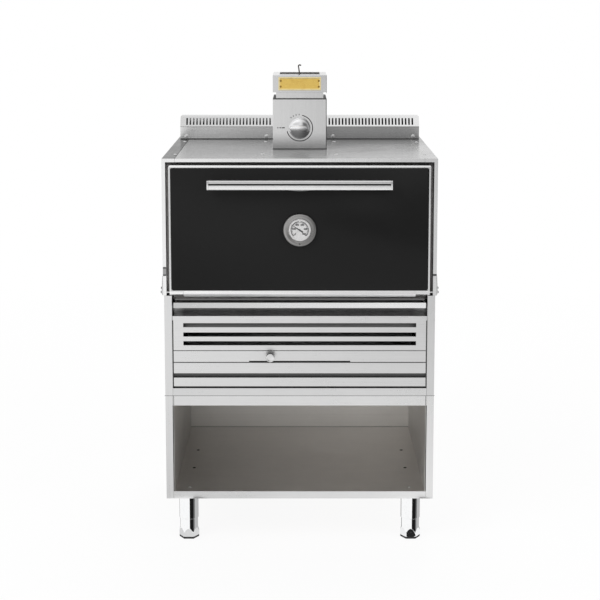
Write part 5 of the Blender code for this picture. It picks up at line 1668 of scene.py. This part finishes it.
@dataclass
class Damper:
    """The butterfly flap and the chrome knob that turns it."""

    centre_z: float = 1.4709
    skirt: float = 0.039
    dome: float = 0.035
    root: float = -0.0730
    skirt_face: float = -0.0785
    dome_face: float = -0.0905
    grip_face: float = -0.0985
    grip_half: float = 0.0120
    grip_left: float = 0.0375
    grip_right: float = 0.0300

    def knob(self) -> Surface:
        """A bevelled skirt that rises into a dome, crossed by a grip with round ends."""
        turn = np.linspace(0, math.pi / 2, 10)
        rise = self.skirt_face - self.dome_face
        along = [
            self.root,
            self.skirt_face + 0.0008,
            self.skirt_face,
            self.skirt_face,
            *(self.skirt_face - rise * np.sin(turn)),
        ]
        radii = [
            self.skirt - 0.0004,
            self.skirt,
            self.skirt - 0.0010,
            self.dome + 0.0006,
            *(self.dome * np.cos(turn)),
        ]
        body = turned(Axis.Y, (0, 0, self.centre_z), along, radii, 72)
        outline = rounded_rectangle(
            (-self.grip_half, -self.grip_left), (self.grip_half, self.grip_right), 0.0110, 9
        )
        foot = np.array(self.skirt_face + 0.001)
        rings = [Axis.Y.place(foot, outline[:, 0] + self.centre_z, outline[:, 1])]
        for step in np.linspace(0, math.pi / 2, 8):
            depth = self.skirt_face - (self.skirt_face - self.grip_face) * math.sin(step)
            narrow = max(math.cos(step) ** 0.6, 0.10)
            short = 0.90 + 0.10 * math.cos(step)
            z = outline[:, 0] * narrow + self.centre_z
            rings.append(Axis.Y.place(np.array(depth), z, outline[:, 1] * short))
        return body + tube(np.stack(rings))

    @property
    def fades(self) -> tuple[Fade, ...]:
        """The plating is painted brightest at the upper left: a painted highlight."""
        low = self.centre_z - self.grip_half
        return (Fade(Axis.X, -0.006, 0.022, 1.0, 0.42), Fade(Axis.Z, low - 0.002, low + 0.003, 0.50, 1.0))

    def pointer(self) -> Surface:
        """A dark inlaid line on the skirt, where the knob points at its scale."""
        return block(
            (-0.0388, self.skirt_face - 0.0002, self.centre_z - 0.0008),
            (-0.0362, self.skirt_face + 0.0006, self.centre_z + 0.0008),
        )

    def build(self, shop: Workshop) -> None:
        """Dresses the flap and makes the knob."""
        shop.sheet("damper_flap", SOOTED_IRON, edge=0.0005)
        chrome = Chrome("knob_chrome_plating", (0.95, 0.95, 0.96), roughness=0.12, fades=self.fades)
        shop.piece(
            "damper_knob_cast", self.knob(), chrome, "damper", "damper_knob_chrome", ["damper_knob"], sharp=50
        )
        shop.piece("damper_knob_pointer", self.pointer(), PRINT_BLACK, "damper", "damper_knob_chrome")


@dataclass
class RearVents:
    """The two louvred rails at the back of the top, each with two screws at its foot."""

    face: float = 0.3558
    screw_x: tuple[float, float] = (0.131, 0.447)
    screw_z: float = 1.4040
    foot_z: float = 1.3928
    fold_z: float = 1.4414
    ends: tuple[float, float] = (0.1052, 0.4704)
    foot_joint: float = 0.0030
    fold_line: float = 0.0014
    screw: Fastener = Fastener(Head.SOCKET, radius=0.0048, height=0.0030, washer=0.0078)

    def joints(self, sign: int) -> Surface:
        """Painted shadow lines along a rail's foot and in the crease under its louvred band."""
        low, high = sorted(sign * end for end in self.ends)
        half = self.fold_line / 2
        foot = block(
            (low, self.face - 0.0012, self.foot_z - 0.0004),
            (high, self.face + 0.0004, self.foot_z + self.foot_joint),
        )
        crease = block(
            (low, self.face - PROUD, self.fold_z - half),
            (high, self.face + SUNK, self.fold_z + half),
        )
        return foot + crease

    def build(self, shop: Workshop) -> None:
        """Dresses the rails and adds their painted shadow lines and screws."""
        plate = Zone(VENT_PLATE, Faces((Axis.Y, -1), ((Axis.Z, self.foot_z, self.fold_z),)))
        for side, sign in SIDES.items():
            shop.sheet(f"rear_vent_{side}", VENT_STEEL, edge=0.0005, zones=[plate])
            joints = self.joints(sign)
            shop.piece(f"rear_vent_joints_{side}", joints, PAINTED_SHADOW_LINE, "oven", "vent_steel", edge=SEAM_EDGE)
            places = [(sign * x, self.face, self.screw_z) for x in self.screw_x]
            surface = heads(self.screw, places, Axis.Y, -1)
            shop.piece(f"rear_vent_screws_{side}", surface, WASHER, "oven", "vent_steel")


# The door edge fades darker towards the right: painted light and shade.
DOOR_EDGE = BrushedSteel(
    "door_edge_bright",
    grey(0.94),
    roughness=0.22,
    brush_depth=0.000006,
    wave_depth=0.0002,
    edge_tint=1.0,
    fades=(across(1.04, 0.88),),
)
# Near-white satin on the chamfer and hinge leaves stands in for a bright reflection, fading darker to the
# left: painted sheen and shade.
DOOR_CHAMFER = BrushedSteel(
    "door_chamfer_painted_sheen", grey(0.90), roughness=0.5, metallic=0.1, fades=(across(0.74, 1.04),)
)
DOOR_INNER = BrushedSteel("door_skin_heat_tinted", (0.40, 0.36, 0.30), roughness=0.34)
# The handle is painted darker above its groove: painted shade.
HANDLE_METAL = BrushedSteel(
    "handle_satin",
    grey(0.93),
    roughness=0.24,
    brush_depth=0.00001,
    wave_depth=0.0001,
    fades=(Fade(Axis.Z, 1.304, 1.312, 1.0, 0.72),),
)
# The handle's posts and bracket behind the bar are painted dark: painted shade.
HANDLE_SHADE = BrushedSteel("handle_bracket_satin", grey(0.30), roughness=0.34)
# The bezel is painted brighter on the left and at its top: painted light.
BEZEL_METAL = BrushedSteel(
    "bezel_spun",
    (0.33, 0.325, 0.32),
    grain=Grain.NONE,
    brush_depth=0.00001,
    fades=(Fade(Axis.X, -0.05, 0.05, 1.15, 0.62), Fade(Axis.Z, 1.15, 1.19, 1.0, 1.2)),
)
DIAL_WHITE = Enamel("dial_enamel_white", (0.72, 0.71, 0.705), roughness=0.4, peel=0.000005, specular=0.3)
NEEDLE_PAINT = Enamel("needle_paint_black", grey(0.01), roughness=0.35)
WOOL = Fibre("mineral_wool_packed", light=(0.62, 0.56, 0.40), dark=(0.24, 0.20, 0.12))
ROPE = Fibre(
    "gasket_glass_rope", light=(0.52, 0.50, 0.45), dark=(0.13, 0.12, 0.10), strand=900.0, depth=0.0004
)


@dataclass
class Handle:
    """The long grooved handle: an extruded bar with end caps, posts and a middle bracket."""

    half_length: float = 0.32135
    cap: float = 0.006
    front: float = -0.470
    rear: float = -0.440
    low: float = 1.2880
    high: float = 1.3220
    groove_low: float = 1.3052
    groove_high: float = 1.3110
    groove_depth: float = 0.0060
    corner: float = 0.0052
    post_inner: float = 0.2714
    post_outer: float = 0.3014
    door_face: float = -0.4140
    bracket_half: float = 0.0535
    bracket_sag: float = 1.2830

    def bar_outline(self) -> np.ndarray:
        """The bar's section, depth by height: round corners and a groove with round lips."""
        quarter = np.linspace(0, math.pi / 2, 6)
        big, lip = self.corner, 0.0014

        def corner(y: float, z: float, start: float, radius: float) -> np.ndarray:
            """A quarter circle round (y, z)."""
            turn = quarter + start
            return np.stack([y + radius * np.cos(turn), z + radius * np.sin(turn)], axis=1)

        half = math.pi / 2
        deep = self.front + self.groove_depth
        return np.vstack(
            [
                corner(self.rear - 0.003, self.low + 0.003, -half, 0.003),
                corner(self.rear - 0.003, self.high - 0.003, 0, 0.003),
                corner(self.front + big, self.high - big, half, big),
                corner(self.front + lip, self.groove_high + lip, math.pi, lip),
                [[deep, self.groove_high], [deep, self.groove_low]],
                corner(self.front + lip, self.groove_low - lip, half, lip),
                corner(self.front + 0.0065, self.low + 0.0065, math.pi, 0.0065),
            ]
        )

    def caps(self) -> Surface:
        """The end caps, which fill the groove."""
        outline = rounded_rectangle((self.front, self.low), (self.rear, self.high), self.corner)
        inner = self.half_length - self.cap
        return carried(Axis.X, outline, -self.half_length, -inner) + carried(
            Axis.X, outline, inner, self.half_length
        )

    def mounts(self) -> Surface:
        """Two posts and the bracket, whose lower edge sags as an arc."""
        posts = [
            carried(
                Axis.Y,
                rounded_rectangle((self.low + 0.006, low), (self.high - 0.006, low + 0.030), 0.006),
                self.rear - 0.001,
                self.door_face,
            )
            for low in (-self.post_outer, self.post_inner)
        ]
        across = np.linspace(-self.bracket_half, self.bracket_half, 33)
        sag = self.low + (self.bracket_sag - self.low) * (1 - (across / self.bracket_half) ** 2)
        lower = np.stack([sag, across], axis=1)
        upper = np.array([[self.high - 0.008, self.bracket_half], [self.high - 0.008, -self.bracket_half]])
        bracket = carried(Axis.Y, np.vstack([lower, upper]), self.rear - 0.004, self.door_face)
        return together([*posts, bracket])

    def build(self, shop: Workshop) -> None:
        """Makes the bar, its caps, and its mounts."""
        inner = self.half_length - self.cap
        bar = carried(Axis.X, self.bar_outline(), -inner, inner)
        groove = Faces(None, ((Axis.Z, self.groove_low - 0.0002, self.groove_high + 0.0002),))
        shop.piece(
            "handle_bar",
            bar,
            HANDLE_METAL,
            "door",
            "handle_steel",
            ["door_handle"],
            sharp=50,
            zones=[Zone(HANDLE_GROOVE_PAINTED_SHADOW, groove)],
        )
        shop.piece("handle_end_caps", self.caps(), HANDLE_METAL, "door", "handle_steel", edge=0.0012)
        shop.piece("handle_mounts", self.mounts(), HANDLE_SHADE, "door", "handle_steel", edge=0.0008)


@dataclass
class Door:
    """The drop-down door: frame, black front, filling, inner skin, rope gasket and hinges."""

    glass_half: float = 0.4510
    glass_low: float = 0.9271
    glass_high: float = 1.3602
    glass_front: float = -0.4137
    glass_back: float = -0.4093
    glass_corner: float = 0.008
    lip_low: Point = (-0.4400, -0.4110, 0.8922)
    lip_high: Point = (0.4400, -0.4085, 0.8979)
    chamfer: Faces = Faces(None, ((Axis.Y, -0.4138, -0.4010), (Axis.Z, 0.9026, 0.9135)))
    corner_x: float = 0.4570
    corner_z: float = 1.3700
    corner_radius: float = 0.0080
    rope_x: float = 0.3993
    rope_low: float = 0.9260
    rope_high: float = 1.3596
    rope_y: float = -0.3607
    rope_radius: float = 0.0053
    rope_corner: float = 0.022
    rope_rings: int = 1500
    rope_sides: int = 12
    rope_pitch: float = 0.0085

    def glass(self) -> Surface:
        """A flat plate with round corners and a ground edge."""
        rings = []
        for depth, inset in (
            (self.glass_back, 0.0),
            (self.glass_front + 0.0008, 0.0),
            (self.glass_front, 0.0008),
        ):
            outline = rounded_rectangle(
                (self.glass_low + inset, -self.glass_half + inset),
                (self.glass_high - inset, self.glass_half - inset),
                self.glass_corner,
                8,
            )
            rings.append(Axis.Y.place(np.array(depth), outline[:, 0], outline[:, 1]))
        return tube(np.stack(rings))

    def at_corner(self, point: Vector) -> bool:
        """Whether a point of the frame is on one of its two upper corners."""
        return abs(point.x) > self.corner_x and point.z > self.corner_z

    def rope(self) -> Surface:
        """A braided ring: its radius rises where either of two opposite spirals crosses a side."""
        corner = rounded_rectangle(
            (self.rope_low, -self.rope_x), (self.rope_high, self.rope_x), self.rope_corner, 16
        )
        loop = Axis.Y.place(np.array(self.rope_y), corner[:, 0], corner[:, 1])
        step = np.linalg.norm(np.roll(loop, -1, axis=0) - loop, axis=1)
        run = np.concatenate([[0.0], np.cumsum(step)])
        closed = np.vstack([loop, loop[:1]])
        place = np.linspace(0, run[-1], self.rope_rings, endpoint=False)
        path = np.stack([np.interp(place, run, closed[:, k]) for k in range(3)], axis=1)
        turns = round(run[-1] / self.rope_pitch)
        along = FULL_TURN * turns * place / run[-1]
        angle = np.linspace(0, FULL_TURN, self.rope_sides, endpoint=False)
        one = np.abs(np.sin(along[:, None] + 2 * angle[None]))
        two = np.abs(np.sin(along[:, None] - 2 * angle[None]))
        radius = self.rope_radius * (0.86 + 0.14 * np.maximum(one, two))
        return wire(path, radius, (0, 1, 0), self.rope_sides, closed=True)

    def build(self, shop: Workshop) -> None:
        """Dresses the sheets, and makes the glass and the rope."""
        zones = [Zone(DOOR_CHAMFER, self.chamfer)]
        shop.sheet(
            "door_frame",
            DOOR_EDGE,
            edge=0.0008,
            zones=zones,
            corners=self.at_corner,
            corner_radius=self.corner_radius,
        )
        shop.sheet("door_inner_skin", DOOR_INNER, edge=0.0008)
        shop.sheet("door_filling", WOOL, edge=0.0)
        for side in SIDES:
            shop.sheet(f"hinge_leaf_{side}", DOOR_CHAMFER, edge=0.0004, zones=[Zone(DOOR_EDGE, TO_FRONT)])
        lip = BrushedSteel("door_lip_satin", grey(0.17))
        bar = block(self.lip_low, self.lip_high)
        shop.piece("door_drip_lip", bar, lip, "door", "door_steel", edge=0.0008)
        black = BlackFront("door_black_glass")
        shop.piece("door_black_front", self.glass(), black, "door", "door_glass", ["door_glass"], sharp=60)
        shop.piece("door_rope", self.rope(), ROPE, "door", "gasket_rope", ["door_gasket"], sharp=180)


@dataclass
class Thermometer:
    """The dial thermometer in the door: spun bezel, printed dial, needle and lens."""

    z: float = 1.1435
    outer: float = 0.058
    rim: float = 0.052
    inner: float = 0.0395
    face: float = -0.432
    shoulder: float = -0.426
    root: float = -0.414
    well: float = -0.4231
    stem: float = 0.006
    stem_end: float = -0.289
    dial_face: float = -0.4253
    dial_back: float = -0.4234
    dial_radius: float = 0.0392
    scale_radius: float = 0.0290
    print_thick: float = 0.00016
    first_tick: float = math.radians(222)
    last_tick: float = math.radians(-42)
    ticks: int = 26
    long_tick: tuple[float, float] = (0.0058, 0.0030)
    short_tick: tuple[float, float] = (0.0040, 0.0018)
    figure_steps: int = 6
    figure_size: float = 0.0086
    figure_weight: float = 0.00045
    figure_reach: float = 0.0205
    lens_rim: float = -0.4314
    lens_dome: float = 0.0004
    lens_thick: float = 0.0008
    needle_angle: float = math.radians(147.5)
    needle_face: float = -0.4268
    needle_back: float = -0.4256
    screw: Fastener = Fastener(Head.SOCKET, radius=0.0024, height=0.0008)
    screw_z: float = 1.0955

    def case(self) -> Surface:
        """The bezel's section turned: rolled outer edge, sloping ring, bead and inner well."""
        turn = np.linspace(0, math.pi / 2, 6)
        roll = self.outer - self.rim
        along = [
            self.stem_end,
            self.stem_end - 0.001,
            self.root + 0.0001,
            self.root,
            self.shoulder,
            *(self.shoulder - (self.shoulder - self.face) * np.sin(turn)),
            self.face + 0.0004,
            self.face + 0.0030,
            self.well,
        ]
        radii = [
            self.stem - 0.001,
            self.stem,
            self.stem,
            self.outer,
            self.outer,
            *(self.rim + roll * np.cos(turn) ** 1.4),
            self.inner + 0.0030,
            self.inner + 0.0001,
            self.inner,
        ]
        return turned(Axis.Y, (0, 0, self.z), along, radii, 96)

    def dial(self) -> Surface:
        """The dial plate with a low turned edge."""
        along = [self.dial_back, self.dial_face + 0.0003, self.dial_face, self.dial_face]
        radii = [self.dial_radius, self.dial_radius, self.dial_radius - 0.0004, 0.0]
        return turned(Axis.Y, (0, 0, self.z), along, radii, 96)

    def scale(self) -> Surface:
        """Two printed arcs, ticks between the first and last angle, and an outer hairline."""
        centre = (0.0, self.dial_face, self.z)
        outer = self.scale_radius + 0.0026
        parts = [
            arc_band(centre, self.scale_radius, outer, start, end, self.print_thick, 40)
            for start, end in ((self.last_tick, math.radians(84)), (math.radians(96), self.first_tick))
        ]
        for number, angle in enumerate(np.linspace(self.first_tick, self.last_tick, self.ticks)):
            length, wide = self.short_tick if number % 5 else self.long_tick
            turn = wide / self.scale_radius
            parts.append(
                arc_band(
                    centre,
                    self.scale_radius - length,
                    self.scale_radius + 0.0005,
                    angle - turn / 2,
                    angle + turn / 2,
                    self.print_thick,
                    3,
                )
            )
        return together(parts)

    def figures(self) -> Surface:
        """The numbers 0 to 500 beside the long ticks, as thin solid text."""
        parts = []
        angles = np.linspace(self.first_tick, self.last_tick, self.figure_steps)
        for number, angle in enumerate(angles):
            curve = bpy.data.curves.new("figure", "FONT")
            curve.body = str(number * 100)
            curve.size = self.figure_size
            curve.offset = self.figure_weight
            curve.align_x, curve.align_y = "CENTER", "CENTER"
            curve.extrude = self.print_thick / 2
            text = bpy.data.objects.new("figure", curve)
            mesh = bpy.data.meshes.new_from_object(text)
            points = np.empty(len(mesh.vertices) * 3)
            mesh.vertices.foreach_get("co", points)
            points = points.reshape(-1, 3)
            x = points[:, 0] + self.figure_reach * math.cos(angle)
            z = points[:, 1] + self.figure_reach * math.sin(angle) + self.z
            y = self.dial_face - self.print_thick / 2 - points[:, 2]
            faces = [tuple(face.vertices) for face in mesh.polygons]
            parts.append(Surface(np.stack([x, y, z], axis=1), faces))
            bpy.data.objects.remove(text)
            bpy.data.curves.remove(curve)
            bpy.data.meshes.remove(mesh)
        return together(parts)

    def needle(self) -> Surface:
        """A tapered pointer with a hub and a broad tail, drawn along x and then turned."""
        pointer = np.array(
            [(0.034, 0.00060), (0.034, -0.00060), (0.006, -0.0017), (-0.004, -0.0023), (-0.0125, -0.0024)]
        )
        tail = np.array([(-0.0142, -0.0012), (-0.0142, 0.0012)])
        back = pointer[1:, :][::-1] * (1, -1)
        outline = np.vstack([pointer, tail, back])[:, ::-1]
        blade = carried(Axis.Y, outline + (self.z, 0), self.needle_face, self.needle_back)
        hub = turned(
            Axis.Y,
            (0, 0, self.z),
            [
                self.needle_back + 0.0003,
                self.needle_face,
                self.needle_face - 0.0010,
                self.needle_face - 0.0014,
            ],
            [0.0032, 0.0032, 0.0026, 0.0012],
            32,
        )
        return (blade + hub).tilted(Axis.Y, -self.needle_angle, (0, 0, self.z))

    def lens(self) -> Surface:
        """A shallow domed glass: its face rises as 1 less the square of the radius's share."""
        share = np.linspace(0, 1, 8)
        front = self.lens_rim - self.lens_dome * (1 - share**2)
        radius = self.dial_radius * share
        along = [*front, *(front[::-1] + self.lens_thick)]
        return turned(Axis.Y, (0, 0, self.z), along, [*radius, *radius[::-1]], 72)

    def build(self, shop: Workshop) -> None:
        """Makes the case, dial, scale, figures, needle, set screw and lens."""
        steel, enamel = "thermometer_steel", "dial_enamel"
        node = ["thermometer_case"]
        shop.piece("thermometer_bezel", self.case(), BEZEL_METAL, "door", steel, node, sharp=40)
        node = ["thermometer_dial"]
        shop.piece("thermometer_dial_plate", self.dial(), DIAL_WHITE, "door", enamel, node)
        shop.piece("thermometer_scale", self.scale(), PRINT_BLACK, "door", enamel)
        shop.piece("thermometer_figures", self.figures(), PRINT_BLACK, "door", enamel)
        node = ["thermometer_needle"]
        shop.piece("thermometer_pointer", self.needle(), NEEDLE_PAINT, "needle", "needle_black", node)
        screw = self.screw.surface((0.0, self.face + 0.0003, self.screw_z), Axis.Y, -1)
        shop.piece("thermometer_set_screw", screw, BLACKENED, "door", steel)
        clear, node = ClearGlass("lens_clear"), ["thermometer_lens"]
        shop.piece("thermometer_glass", self.lens(), clear, "door", "lens_glass", node)


FIREBRICK = Cast(
    "firebrick_ashed",
    (0.50, 0.36, 0.24),
    deposit=(0.22, 0.18, 0.15),
    roughness=0.86,
    metallic=0.0,
    pore=130.0,
    depth=0.0012,
)
RACK_ROD = BrushedSteel(
    "rack_rod_seasoned", (0.17, 0.15, 0.13), grain=Grain.NONE, roughness=0.34, brush_depth=0.00004
)
RUNNER_STEEL = BrushedSteel("runner_heat_tinted", (0.22, 0.19, 0.16), grain=Grain.ALONG_Y, roughness=0.40)


@dataclass
class FireSpace:
    """What stands inside the casing: liner, wool, brick hopper, grate, runners and racks."""

    rack_half: float = 0.3777
    rack_front: float = -0.2907
    rack_rear: float = 0.2293
    rack_levels: tuple[float, float] = (1.0257, 1.1552)
    rack_thick: float = 0.008
    rods: int = 34

    def rack(self, level: float) -> Surface:
        """A frame of round bar with round corners, crossed by straight rods."""
        radius = self.rack_thick / 2
        middle = level + radius
        outline = rounded_rectangle(
            (-self.rack_half + radius, self.rack_front + radius),
            (self.rack_half - radius, self.rack_rear - radius),
            0.018,
            6,
        )
        loop = np.column_stack([outline, np.full(len(outline), middle)])
        frame = wire(loop, radius, (0, 0, 1), 12, closed=True)
        reach = self.rack_half - 2 * radius
        thin = radius * 0.72
        places = np.linspace(-reach, reach, self.rods + 2)[1:-1]
        rods = [
            wire(
                np.array([(x, self.rack_front + radius, middle), (x, self.rack_rear - radius, middle)]),
                thin,
                (0, 0, 1),
                8,
            )
            for x in places
        ]
        cross = [
            wire(
                np.array([(-reach, y, middle - radius * 0.2), (reach, y, middle - radius * 0.2)]),
                thin,
                (0, 0, 1),
                8,
            )
            for y in (self.rack_front * 0.45, self.rack_rear * 0.45)
        ]
        return together([frame, *rods, *cross])

    def build(self, shop: Workshop) -> None:
        """Dresses the cast and brick pieces and makes the racks."""
        shop.sheet("cavity_liner", SOOTED_IRON, edge=0.0010)
        shop.sheet("wool_jacket", WOOL, edge=0.0)
        # The brick's front faces just inside the mouth get painted shade.
        jacket = Faces((Axis.Y, -1), ((Axis.Y, -0.3, -0.2),))
        shop.sheet("firebox", FIREBRICK, edge=0.0016, zones=[Zone(BODY_PAINTED_SHADE, jacket)])
        shop.sheet("charcoal_grate", SOOTED_IRON, edge=0.0010)
        for side in SIDES:
            shop.sheet(f"rack_runner_{side}", RUNNER_STEEL, edge=0.0005)
        for name, level in zip(("lower", "upper"), self.rack_levels):
            shop.piece(
                f"rack_{name}_rods", self.rack(level), RACK_ROD, "oven", "rack_steel", [f"grill_rack_{name}"]
            )


@dataclass(frozen=True)
class Card:
    """An upright curved card round a leg, between two headings, that only gloss sees."""

    start: float
    end: float
    tone: float


@dataclass
class Studio:
    """Floor, light, reflector cards and camera."""

    floor_half: float = 40.0
    floor_colour: float = 0.90
    near_share: float = 0.90
    sky_soft: float = 0.62
    lens: float = 96.78
    shift_x: float = 0.0005
    shift_y: float = -0.1
    tilt: float = 81.357
    place: Point = (0.0, -5.996, 1.9556)
    aim: Point = (0.0, 0.0, 0.8)
    lamps: tuple[tuple[str, Point, float, float], ...] = (
        ("key_lamp", (-3.0, -4.2, 4.4), 3.2, 150.0),
        ("fill_lamp", (3.6, -3.6, 3.0), 3.0, 60.0),
        ("back_lamp", (0.5, 3.6, 4.6), 3.0, 90.0),
    )
    foot_card: tuple[Point, Point, float] = ((0.388, -0.450, 0.001), (0.426, -0.376, 0.001), 0.02)
    direct_rays: tuple[str, ...] = ("Is Camera Ray", "Is Glossy Ray", "Is Transmission Ray")
    card_reach: float = 0.115
    card_high: float = 0.163
    card_turn: float = -2.25
    cards: tuple[Card, ...] = (
        Card(-128.0, 12.0, 1.0),
        Card(12.0, 54.0, 0.012),
        Card(54.0, 70.0, 0.16),
        Card(70.0, 140.0, 0.50),
        Card(180.0, 232.0, 0.30),
    )

    def stand(self, graph: Graph, grid: np.ndarray) -> bpy.types.Object:
        """Puts a stage surface over a grid of points, with the material's name."""
        name = graph.holder.name.split(".")[0]
        surface = net(grid)
        mesh = bpy.data.meshes.new(name)
        mesh.from_pydata(surface.points.tolist(), [], surface.faces)
        mesh.materials.append(graph.holder)
        item = bpy.data.objects.new(name, mesh)
        bpy.context.scene.collection.objects.link(item)
        return item

    def seen(self, graph: Graph, kinds: Sequence[str]) -> Socket:
        """1 for rays of the named kinds, 0 for the rest."""
        path = graph.node("LightPath")
        total = path.outputs[kinds[0]]
        for kind in kinds[1:]:
            total = graph.maths("MAXIMUM", total, path.outputs[kind])
        return total

    def floor_tone(self, graph: Graph) -> Socket:
        """How bright polished metal sees the floor: by its distance in front and its side."""
        axes = graph.axes()
        x, y = axes["X"], axes["Y"]
        near = graph.ranged(x, 0.66, 1.0, -0.55, 0.55)
        far = graph.ranged(x, 1.0, 0.76, -0.9, 0.9)
        fading = graph.maths("MULTIPLY", far, graph.ranged(y, 0.92, 1.0, -14.0, -5.0))
        return graph.blend(graph.mask(y, -2.9, -1.0), fading, near)

    def floor(self) -> None:
        """A plain pale floor: it takes shadows, and looks white to camera and gloss."""
        graph = Graph("studio_floor")
        matt = graph.node("BsdfDiffuse")
        speck = graph.noise(3.0, 3.0)
        tone = graph.between(graph.mask(speck), grey(self.floor_colour), grey(self.floor_colour - 0.01))
        graph.link(tone, matt.inputs["Color"])
        glow = graph.node("Emission")
        gloss = self.seen(graph, ("Is Glossy Ray",))
        graph.link(graph.blend(gloss, 1.0, self.floor_tone(graph)), glow.inputs["Strength"])
        distance = graph.node("VectorMath", operation="LENGTH")
        graph.link(graph.place((1, 1, 1)), distance.inputs[0])
        share = graph.ranged(distance.outputs["Value"], self.near_share, 1.0, 1.2, 5.0)
        factor = graph.maths("MULTIPLY", self.seen(graph, self.direct_rays), share)
        graph.cover(factor, matt.outputs["BSDF"], glow.outputs["Emission"])
        edge = np.array([-self.floor_half, self.floor_half])
        self.stand(graph, Axis.Z.place(np.array(0.0), edge[:, None], edge[None, :]))

    def sky(self) -> None:
        """White to the camera, softer on matt surfaces; to gloss, grey low at the front right."""
        graph = Graph("studio_world", world=True)
        bpy.context.scene.world = graph.holder
        soft, white = graph.node("Background"), graph.node("Background")
        for part in (soft, white):
            part.inputs["Color"].default_value = (1, 1, 1, 1)
        soft.inputs["Strength"].default_value = self.sky_soft
        coordinates = graph.node("TexCoord")
        axes = graph.node("SeparateXYZ")
        graph.link(coordinates.outputs["Generated"], axes.inputs[0])
        x, y, z = (axes.outputs[name] for name in "XYZ")
        front = graph.ranged(y, 1.0, 0.0, -0.8, -0.1)
        front = graph.maths("MULTIPLY", front, self.seen(graph, ("Is Glossy Ray",)))
        level = graph.blend(
            graph.mask(z, 0.11, 0.18),
            graph.ranged(x, 0.82, 0.26, -0.075, 0.075),
            graph.ranged(x, 0.66, 1.0, -0.12, 0.12),
        )
        level = graph.blend(graph.mask(x, 0.16, 0.34), level, 0.26)
        where = graph.maths("MULTIPLY", front, graph.ranged(z, 1.0, 0.0, 0.40, 0.65))
        graph.link(graph.blend(where, 1.0, level), white.inputs["Strength"])
        seen = self.seen(graph, self.direct_rays)
        graph.cover(seen, soft.outputs["Background"], white.outputs["Background"])

    def card(self, grid: np.ndarray, tone: float) -> None:
        """A reflector card: it glows at one tone, and only polished metal sees it.

        Args:
            grid: Its points, rows x columns x 3.
            tone: How bright it is.
        """
        graph = Graph("reflector_card")
        glow = graph.node("Emission")
        glow.inputs["Color"].default_value = (*grey(tone), 1)
        graph.link(glow.outputs["Emission"], graph.output.inputs["Surface"])
        item = self.stand(graph, grid)
        item.visible_camera = item.visible_diffuse = item.visible_shadow = False
        item.visible_transmission = item.visible_volume_scatter = False

    def leg_cards(self, leg: Leg) -> None:
        """The cards round a leg: points (x + r sin a, y - r cos a) at two heights."""
        turn = math.copysign(self.card_turn, leg.x)
        high = np.array([0.0, self.card_high])[None, :]
        for card in self.cards:
            heading = np.radians(np.linspace(card.start + turn, card.end + turn, 9))[:, None]
            x = leg.x + self.card_reach * np.sin(heading)
            y = leg.y - self.card_reach * np.cos(heading)
            self.card(Axis.Z.place(high, x, y), card.tone)

    def dark_card(self) -> None:
        """A dark card on the floor before the right front foot."""
        low, high, tone = self.foot_card
        x = np.array([low[0], high[0]])[:, None]
        y = np.array([low[1], high[1]])[None, :]
        self.card(Axis.Z.place(np.array(low[2]), x, y), tone)

    def light(self) -> None:
        """Large soft lamps that aim at the oven's middle and don't show in polished metal."""
        aim = Vector(self.aim)
        for name, place, size, power in self.lamps:
            lamp = bpy.data.lights.new(name, "AREA")
            lamp.size, lamp.energy = size, power
            item = bpy.data.objects.new(name, lamp)
            item.location = place
            item.rotation_euler = (aim - Vector(place)).to_track_quat("-Z", "Y").to_euler()
            item.visible_glossy = item.visible_camera = False
            bpy.context.scene.collection.objects.link(item)

    def camera(self) -> None:
        """The photograph's point of view."""
        data = bpy.data.cameras.new("camera")
        data.lens, data.sensor_width = self.lens, 36.0
        data.shift_x, data.shift_y = self.shift_x, self.shift_y
        data.clip_end = 200.0
        item = bpy.data.objects.new("camera", data)
        item.location = self.place
        item.rotation_euler = (math.radians(self.tilt), 0, 0)
        bpy.context.scene.collection.objects.link(item)
        bpy.context.scene.camera = item

    def build(self, legs: Sequence[Leg]) -> None:
        """Sets the stage round the oven's legs, and the colour handling."""
        self.floor()
        self.dark_card()
        for leg in legs:
            self.leg_cards(leg)
        self.sky()
        self.light()
        self.camera()
        bpy.context.scene.view_settings.view_transform = "Standard"


def main() -> None:
    """Builds every sub-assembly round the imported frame."""
    logging.basicConfig(level=logging.INFO, format="%(name)s: %(message)s")
    for item in list(bpy.data.objects):
        bpy.data.objects.remove(item)
    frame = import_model()
    shop = Workshop(frame)
    legs = [
        Leg(f"{row}_{side}", x, y)
        for row, y in (("front", -0.330), ("rear", 0.390))
        for side, x in (("left", -0.403), ("right", 0.403))
    ]
    assemblies = [
        BaseCabinet(),
        *legs,
        LowerBody(),
        BackScrews(),
        AshDrawer(),
        AirControl(),
        CrumbTray(),
        Casing(),
        HingeCovers(),
        Chimney(),
        Damper(),
        RearVents(),
        Door(),
        Handle(),
        Thermometer(),
        FireSpace(),
    ]
    for assembly in assemblies:
        assembly.build(shop)
        log.info("%s is in place", type(assembly).__name__)
    Studio().build(legs)


if __name__ == "__main__":
    main()
